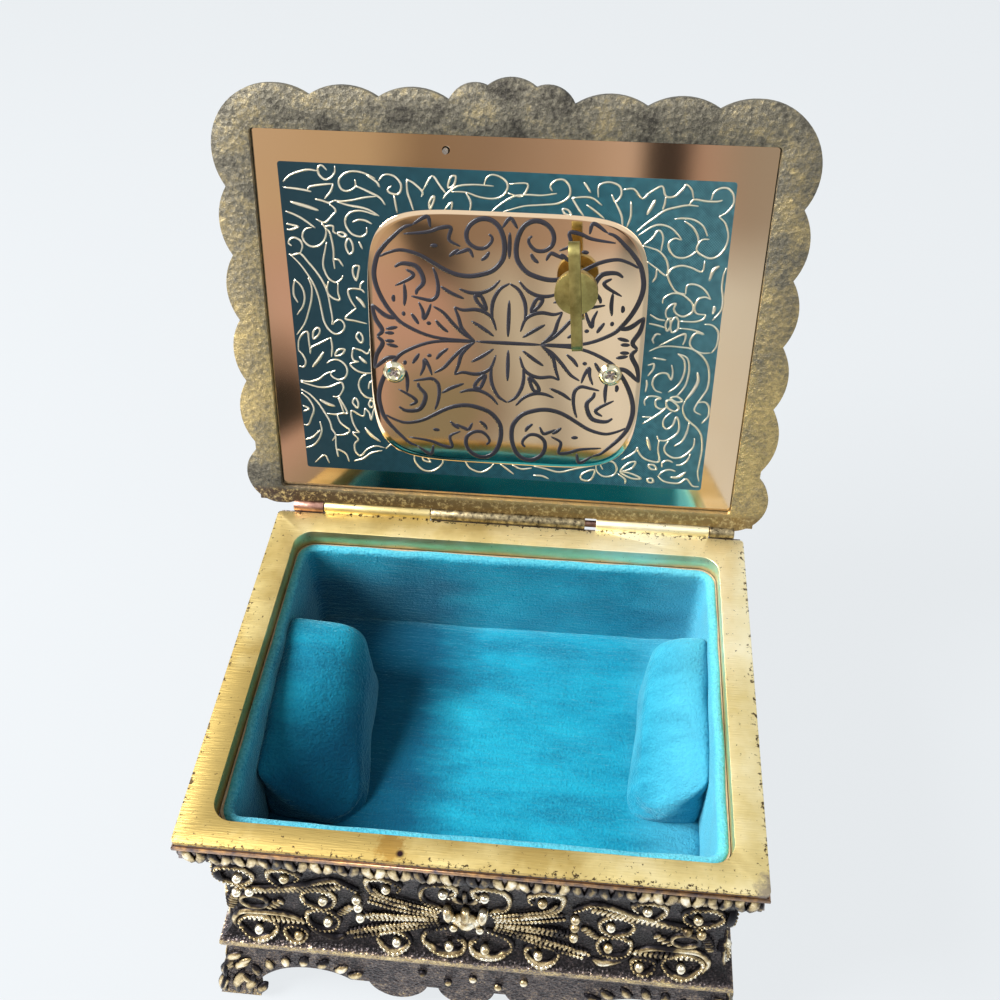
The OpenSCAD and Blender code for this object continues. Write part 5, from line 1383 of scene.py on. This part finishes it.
def wall_ornament(side):
    """The cast scrolls, rings, pearls and ribbed leaves of one wall."""
    shift, squeeze = (-1.0, 1.0) if side in LONG_WALLS else (0.0, 0.77)

    def fit(lines):
        return [[(x * squeeze, *rest) for x, *rest in line] for line in mirrored(lines)]

    rings = []
    for x, y, a, b in RINGS:
        ring = [(x + a * math.cos(t * math.pi / 6), y + b * math.sin(t * math.pi / 6))
                for t in range(12)]
        rings.append(ring + ring[:1])
    bm = strokes(fit(STEMS), 0.72, taper=0.55, flat=1.35, round_=2, steps=5)
    merge(bm, strokes(fit(rings), 0.6, flat=1.4, round_=2, steps=2))
    beads_along(bm, fit(rings[:3] + rings[4:] + STEMS[:5]), 0.95, 0.3, 0.9, lift=0.86)
    beads_along(bm, fit(ROPES), 0.82, 0.46, 1.1, lift=0.55)
    beads_along(bm, fit([[(0, 54.4), (26, 54.4), (48.3, 54.4)]]), 1.6, 0.62, 1.0, lift=0.1)
    ribs = []
    for x0, y0, x1, y1, wide in RIBS:
        along = Vector((x1 - x0, y1 - y0))
        count = max(3, int(along.length / RIB_PITCH))
        across = Vector((-along.y, along.x)).normalized() * wide / 2
        for i in range(count + 1):
            t = i / count
            reach = across * (0.45 + 0.55 * math.sin(math.pi * (0.15 + 0.75 * t)))
            at = Vector((x0, y0)) + along * t
            tip = along.normalized() * 0.5
            ribs.append([tuple(at - reach + tip), tuple(at), tuple(at + reach + tip)])
    merge(bm, strokes(fit(ribs), 0.42, taper=0.6, flat=2.6, round_=1, steps=3))
    pearls(bm, [(hand * x * squeeze, y) for x, y in PEARLS for hand in (-1, 1)], 0.98, 1.15, 1.15)
    pearls(bm, [(0, 34.6)], 3.4, 0.32, 0.3)
    pearls(bm, [(0, 34.4)], 1.9, 0.8, 0.7)
    pearls(bm, [(hand * 2.6, y) for y in (32, 36.4) for hand in (-1, 1)], 0.9, 0.9, 0.9)
    boss = [[(x, 37, 0.6), (x * 1.1, 39, 1.0), (x * 1.2, 40.6, 0.5)] for x in (-3, 0, 3)]
    merge(bm, strokes(boss, 1.0, taper=0.6, flat=1.5, round_=2))
    crown = [[(0, 42), (x, 43.2), (x * 1.2, 45)] for x in (-1.8, 1.8)]
    crown += [[(0, 42), (0, 44.4), (0, 46.8)]]
    merge(bm, strokes(crown, 0.7, taper=0.5, flat=1.3, round_=1))
    bmesh.ops.translate(bm, vec=(shift, 0, 0), verts=bm.verts)
    made = piece("ornament_" + side, bm, "box", rubbed_gilt, place=on_wall(side), relief=1.1)


for side in SIDES:
    wall_ornament(side)

# %% [markdown]
# ## Leaf moulding and bead band
# Under the rim runs a row of small leaves like tongues, each a V with a bud between it and the
# next. Leaves curl over the arches and the feet, and a few drops hang on the apron. A copper brown
# band of four bars closes the gap between the rim and the moulding.

# %% Mouldings
def leaf(x, z, turn, size, bend):
    """One curled lobe that grows from this point at this angle, with a short one beside it."""
    way = Vector((math.cos(turn), math.sin(turn)))
    side = Vector((-way.y, way.x)) * bend
    root = Vector((x, z))
    lobes = []
    for start, lean, reach in ((0, 0.35, 1), (0.35, 0.75, 0.5)):
        base = root + way * size * start * 0.6
        tip = base + (way + side * lean) * size * reach
        middle = base.lerp(tip, 0.5) - side * size * 0.12
        lobes.append([(*base, -0.2), (*middle, 0.3), (*tip, 0.1)])
    return lobes


# A leaf on a foot: how far in from the corner it grows, its height, its lean and its size.
FOOT_LEAVES = [
    (-1.9, 0.4, 76, 6.0), (0.8, 0.4, 86, 8.0), (3.6, 0.3, 84, 6.4), (5.6, 1.0, 100, 4.0),
    (-1.6, 6.2, 96, 6.0), (1.2, 8.2, 110, 5.6), (0.0, 11.6, 118, 4.4),
]
LEAF_PITCH = 4.7
ARCH_R, ARCH_Z = 14.9, -2.7
HALF_LONG, HALF_SHORT = 52, 40


def mouldings(side):
    """The leaf moulding under the rim and the leaves on the feet."""
    front = side in LONG_WALLS
    half = (HALF_LONG if front else HALF_SHORT) - 1.0
    count = round(2 * half / LEAF_PITCH)
    pitch = 2 * half / count
    vees, buds = [], []
    for i in range(count):
        s = -half + (i + 0.5) * pitch
        vees += [[(s + way * 1.25, 61.9, 0.0), (s + way * 1.3, 60.3, 0.35),
                  (s + way * 0.3, 57.8, 0.1)] for way in (-1, 1)]
        between = s + pitch / 2
        buds += [[(between, 61.2, 0.0), (between, 59.6, 0.25), (between, 58.4, -0.1)]]
    bm = strokes(vees, 1.0, taper=0.7, flat=0.62, round_=2, steps=3)
    merge(bm, strokes(buds, 0.62, taper=0.6, flat=0.7, round_=1, steps=2))
    arch, edge = (34.5, half + 1) if front else (22.5, half + 1)
    leaves = []
    for way in (-1, 1):
        for degrees in (26, 40, 54, 68, 82, 96, 110, 122):
            turn = math.radians(degrees)
            x, z = arch + ARCH_R * math.cos(turn), ARCH_Z + ARCH_R * math.sin(turn)
            grown = leaf(x, z, turn + 0.9, 3.6, -1)
            leaves += [[(way * p[0], *p[1:]) for p in lobe] for lobe in grown]
        for back, z, degrees, size in FOOT_LEAVES:
            grown = leaf(edge - back, z, math.radians(degrees), size, 1)
            leaves += [[(way * p[0], *p[1:]) for p in lobe] for lobe in grown]
    merge(bm, strokes(leaves, 0.95, taper=0.3, flat=0.7, round_=2, steps=4))
    drops = [(0, 12.4)]
    if front:
        drops = [(0, 13.4), (-5.2, 11.4), (5.2, 11.4), (-10.5, 13.8), (10.5, 13.8)]
    pearls(bm, drops, 0.9, 0.9, 0.2)
    made = piece("mouldings_" + side, bm, "box", rubbed_gilt, place=on_wall(side), relief=1.0)


for side in SIDES:
    mouldings(side)

# %% Copper brown band
BAND_Z, BAND_HEIGHT = 62.75, 1.15
for side in SIDES:
    half = HALF_LONG if side in LONG_WALLS else HALF_SHORT
    bm = bmesh.new()
    bmesh.ops.create_cube(bm, size=1)
    for vert in bm.verts:
        out = vert.co.z > 0
        vert.co = (vert.co.x * 2 * (half + (0.25 if out else -0.9)),
                   BAND_Z + vert.co.y * BAND_HEIGHT, 0.8 if out else -0.6)
    rims = [e for e in bm.edges if all(v.co.z > 0 for v in e.verts)
            and abs(e.verts[0].co.y - e.verts[1].co.y) < 0.1]
    bmesh.ops.bevel(bm, geom=rims, offset=0.3, offset_type="OFFSET", affect="EDGES",
                    segments=3, profile=0.5, material=-1)
    made = piece("edge_band_" + side, bm, "box", plain["copper_brown_edge"], place=on_wall(side))

# %% [markdown]
# ## Back of the lid
# The photograph doesn't show the outside of the lid. It is given the same family of ornament: the
# panel's scrolls cast in relief, a border of beads, and a running scroll with leaves on its sides.

# %% Lid ornament
DOME_TOP = 20.35


def on_dome(p):
    """A drawing point of the panel, stretched over the dome's flat top, with p.z outwards."""
    return LID @ Vector((p.x * 1.38 - 0.5, (p.y - MIDDLE[1]) * 1.06 + 38.4, DOME_TOP + p.z))


bm = strokes(four_ways(BOLD), 0.75, taper=0.4, flat=1.1, round_=2)
merge(bm, strokes(four_ways(FINE[:17]) + SINGLE, 0.5, taper=0.4, flat=1.2, round_=1))
pearls(bm, [(x, y) for x in (-18.5, 19.3) for y in (21.5, 51.5)] + [(0.4, 36.4)], 1.1, 0.9, 0.4)
frame_line = [
    (-30.4, 10.5), (-30.4, 36.4), (-30.4, 62.5), (-28, 65.5), (0, 65.7), (28.8, 65.5),
    (31.2, 62.5),
    (31.2, 36.4), (31.2, 10.5), (28.8, 7.5), (0, 7.3), (-28, 7.5), (-30.4, 10.5),
]
beads_along(bm, [frame_line], 1.5, 0.62, 0.9, lift=0.3)
piece("lid_scrolls", bm, "lid", rubbed_gilt, place=on_dome, relief=1.0)

# %% Bands round the dome
# Each side is how it is placed and its half length. GROW is how far the bands stand off the plate's
# outline, because the dome is wider than the plate.
GROW = 0.80
DOME_SIDES = {
    "far": (lambda p: LID @ Vector((p.x, PLATE_FAR_EDGE + GROW + p.z, p.y)), 48.0),
    "left": (lambda p: LID @ Vector((-49.57 - GROW - p.z, 38.5 + p.x, p.y)), 37.0),
    "right": (lambda p: LID @ Vector((49.57 + GROW + p.z, 38.5 - p.x, p.y)), 37.0),
}


WAVE_LENGTH, WAVE_Z, WAVE_RISE = 16, 8.6, 2.6


def dome_band(side):
    """A running scroll with leaves and pearls on one side of the dome."""
    place, half = DOME_SIDES[side]
    waves = round(2 * half / WAVE_LENGTH)
    long = 2 * half / waves
    line = [(-half + i * long / 8, WAVE_Z + WAVE_RISE * math.sin(i * math.pi / 4), 0.1)
            for i in range(8 * waves + 1)]
    leaves = []
    for i in range(waves):
        for at, way in ((0.25, -1), (0.75, 1)):
            x, z = -half + (i + at) * long, WAVE_Z - way * WAVE_RISE
            for lean in (-0.9, 0, 0.9):
                tip = (x + lean * 2.6, z + way * (4.0 - abs(lean)), 0.1)
                middle = ((x + tip[0]) / 2 + lean * 0.4, (z + tip[1]) / 2, 0.5)
                leaves.append([(x, z, 0), middle, tip])
    bm = strokes([line], 0.62, taper=0.6, flat=1.1, round_=2, steps=2)
    merge(bm, strokes(leaves, 0.7, taper=0.25, flat=0.8, round_=1, steps=3))
    rows = [[(-half, z), (0, z), (half, z)] for z in (3.4, 13.8)]
    beads_along(bm, rows, 1.5, 0.5, 0.9, lift=0.2)
    made = piece("dome_band_" + side, bm, "lid", rubbed_gilt, place=place, relief=1.0)


for side in DOME_SIDES:
    dome_band(side)

# %% [markdown]
# ## Velvet lining
# The walls are cards wrapped in velvet. One ring stands for them: a box with rounded corners that
# has lost its lid and floor, thickened inwards, with a soft roll along its top.

# %% Velvet walls
# The height of the tray's floor and of the lining's top, the lining's height and its half widths.
FLOOR_Z = 37.0
LINING_TOP, LINING_HEIGHT = 61.4, 27
HALF_X, HALF_Y = 46.2, 34.2
# Without a seed of its own, this noise takes its offsets from the clock and differs in each run.
noise.seed_set(11)


def soft_noise(co, size, amount, seed=0):
    """A smooth push along no particular axis. seed shifts the pattern for each piece."""
    return noise.noise_vector(co / (size * MM) + Vector((seed, seed, seed))) * amount * MM


bm = bmesh.new()
bmesh.ops.create_cube(bm, size=1)
bmesh.ops.scale(bm, vec=(2 * HALF_X, 2 * HALF_Y, LINING_HEIGHT), verts=bm.verts)
bmesh.ops.translate(bm, vec=(0, 0, LINING_TOP - LINING_HEIGHT / 2), verts=bm.verts)
upright = [e for e in bm.edges if abs(e.verts[0].co.z - e.verts[1].co.z) > 1]
bmesh.ops.bevel(bm, geom=upright, offset=4.2, offset_type="OFFSET", affect="EDGES",
                segments=6, profile=0.5, material=-1)
bmesh.ops.delete(bm, geom=[f for f in bm.faces if abs(f.normal.z) > 0.9], context="FACES")
level = [e for e in bm.edges if abs(e.verts[0].co.z - e.verts[1].co.z) < 0.1
         and e.calc_length() > 10]
bmesh.ops.subdivide_edges(bm, edges=level, cuts=39, use_grid_fill=True)
upright = [e for e in bm.edges if abs(e.verts[0].co.z - e.verts[1].co.z) > 1]
bmesh.ops.subdivide_edges(bm, edges=upright, cuts=13, use_grid_fill=True)
bmesh.ops.recalc_face_normals(bm, faces=bm.faces)
bmesh.ops.solidify(bm, geom=bm.faces[:], thickness=2.1)
top = [e for e in bm.edges if all(v.co.z > LINING_TOP - 0.1 for v in e.verts)
       and e.calc_face_angle(0) > 1]
bmesh.ops.bevel(bm, geom=top, offset=0.95, offset_type="OFFSET", affect="EDGES",
                segments=4, profile=0.5, material=-1)
bmesh.ops.scale(bm, vec=(MM, MM, MM), verts=bm.verts)
for vert in bm.verts:
    push = soft_noise(vert.co, 9, 0.35)
    vert.co += Vector((push.x, push.y, push.z * 0.5))
velvet_walls = piece("velvet_walls", bm, "box", velvet)
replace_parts(velvet_walls, "lining_front", "lining_back", "lining_left", "lining_right")

# %% [markdown]
# ## Stuffed pads
# The floor pad and the two bolsters are stuffed. Each copy of its CAD solid is blown up ten times,
# because the cloth solver is tuned to cushions of that size, remeshed into even squares, swollen
# by a little air pressure and brought back. No point may move further than the cap.

# %% Cloth pads
BLOWN_UP = 10
FRAMES = 20
PAD_HEIGHT = 23


def slope(vert, wall, reach, front, back, drop):
    """Lets a bolster's top fall away from the wall, most at its front end, and spreads its foot.

    wall is where the bolster leans on its wall, reach how far it stands out, front and back are
    its ends, all in mm, and drop is the share of its height that its front corner loses.
    """
    out = min(1, max(0, abs(vert.x / MM - wall) / reach))
    along = min(1, max(0, (vert.y / MM - front) / (back - front)))
    height = min(1, max(0, (vert.z / MM - FLOOR_Z) / PAD_HEIGHT))
    near = 1 - along * (2 - along)
    fall = out * (0.1 + (drop - 0.1) * near) + 0.25 * near * (1 - out)
    vert.z = FLOOR_Z * MM + (vert.z - FLOOR_Z * MM) * (1 - fall)
    vert.x += math.copysign(1, -wall) * out * (1 - height) * (1.2 + 3.4 * near) * MM


def stuffed(node, shrink, voxel, cap, seed, lean=None):
    """A soft pad from a CAD solid, by cloth simulation.

    In mm: shrink is how much smaller it starts on each side, voxel the squares it is remeshed to,
    and cap the farthest that a point may move.
    """
    bm = bmesh.new()
    bm.from_mesh(nodes[node].data)
    bmesh.ops.remove_doubles(bm, verts=bm.verts, dist=2e-6)
    low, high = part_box(node)
    centre = (low + high) / 2
    size = high - low
    bmesh.ops.translate(bm, vec=-centre, verts=bm.verts)
    keep = [1 - 2 * shrink * MM / size[axis] for axis in range(3)]
    bmesh.ops.scale(bm, vec=[BLOWN_UP * k for k in keep], verts=bm.verts)
    mesh = bpy.data.meshes.new(node + "_pad")
    bm.to_mesh(mesh)
    bm.free()
    pad = show(bpy.data.objects.new(node + "_pad", mesh))
    remesh = pad.modifiers.new("even_squares", "REMESH")
    remesh.mode = "VOXEL"
    remesh.voxel_size = voxel * MM * BLOWN_UP
    round_off = pad.modifiers.new("round_off", "SMOOTH")
    round_off.iterations = 34
    graph = bpy.context.evaluated_depsgraph_get()
    even = bpy.data.meshes.new_from_object(pad.evaluated_get(graph))
    pad.modifiers.clear()
    pad.data = even
    start = [v.co.copy() for v in even.vertices]
    cloth = pad.modifiers.new("stuffing", "CLOTH")
    cloth.settings.use_pressure = True
    cloth.settings.uniform_pressure_force = 4
    cloth.settings.effector_weights.gravity = 0
    cloth.settings.quality = 5
    scene = bpy.context.scene
    scene.frame_start, scene.frame_end = 1, FRAMES
    cloth.point_cache.frame_start, cloth.point_cache.frame_end = 1, FRAMES
    for step in range(1, FRAMES + 1):
        scene.frame_set(step)
    graph = bpy.context.evaluated_depsgraph_get()
    swollen = bpy.data.meshes.new_from_object(pad.evaluated_get(graph))
    pad.modifiers.clear()
    pad.data = swollen
    scene.frame_set(1)
    limit = cap * MM * BLOWN_UP
    farthest = 0
    for vert, at in zip(pad.data.vertices, start):
        move = vert.co - at
        farthest = max(farthest, move.length)
        if move.length > limit:
            move = move * (limit / move.length)
        vert.co = (at + move) / BLOWN_UP + centre
        vert.co += soft_noise(vert.co, 7, 0.35, seed)
        if lean:
            slope(vert.co, *lean)
    pad.data.materials.clear()
    pad.data.materials.append(velvet)
    pad.data.polygons.foreach_set("use_smooth", [True] * len(pad.data.polygons))
    soften = pad.modifiers.new("soften", "SMOOTH")
    soften.iterations = 14 if lean else 0
    finer = pad.modifiers.new("finer", "SUBSURF")
    finer.levels = finer.render_levels = 1
    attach(pad, "box")
    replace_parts(pad, node)
    print(node, "moved at most", round(farthest / BLOWN_UP / MM, 2), "mm before the cap")


stuffed("bolster_left", -0.5, 0.9, 1.2, 3, lean=(-44, 15.6, -19.8, 15.2, 0.85))
stuffed("bolster_right", -0.5, 0.9, 1.2, 5, lean=(44, 10.4, -14.3, 17.8, 0.7))
stuffed("lining_floor", -1.1, 1.4, 0.5, 8)
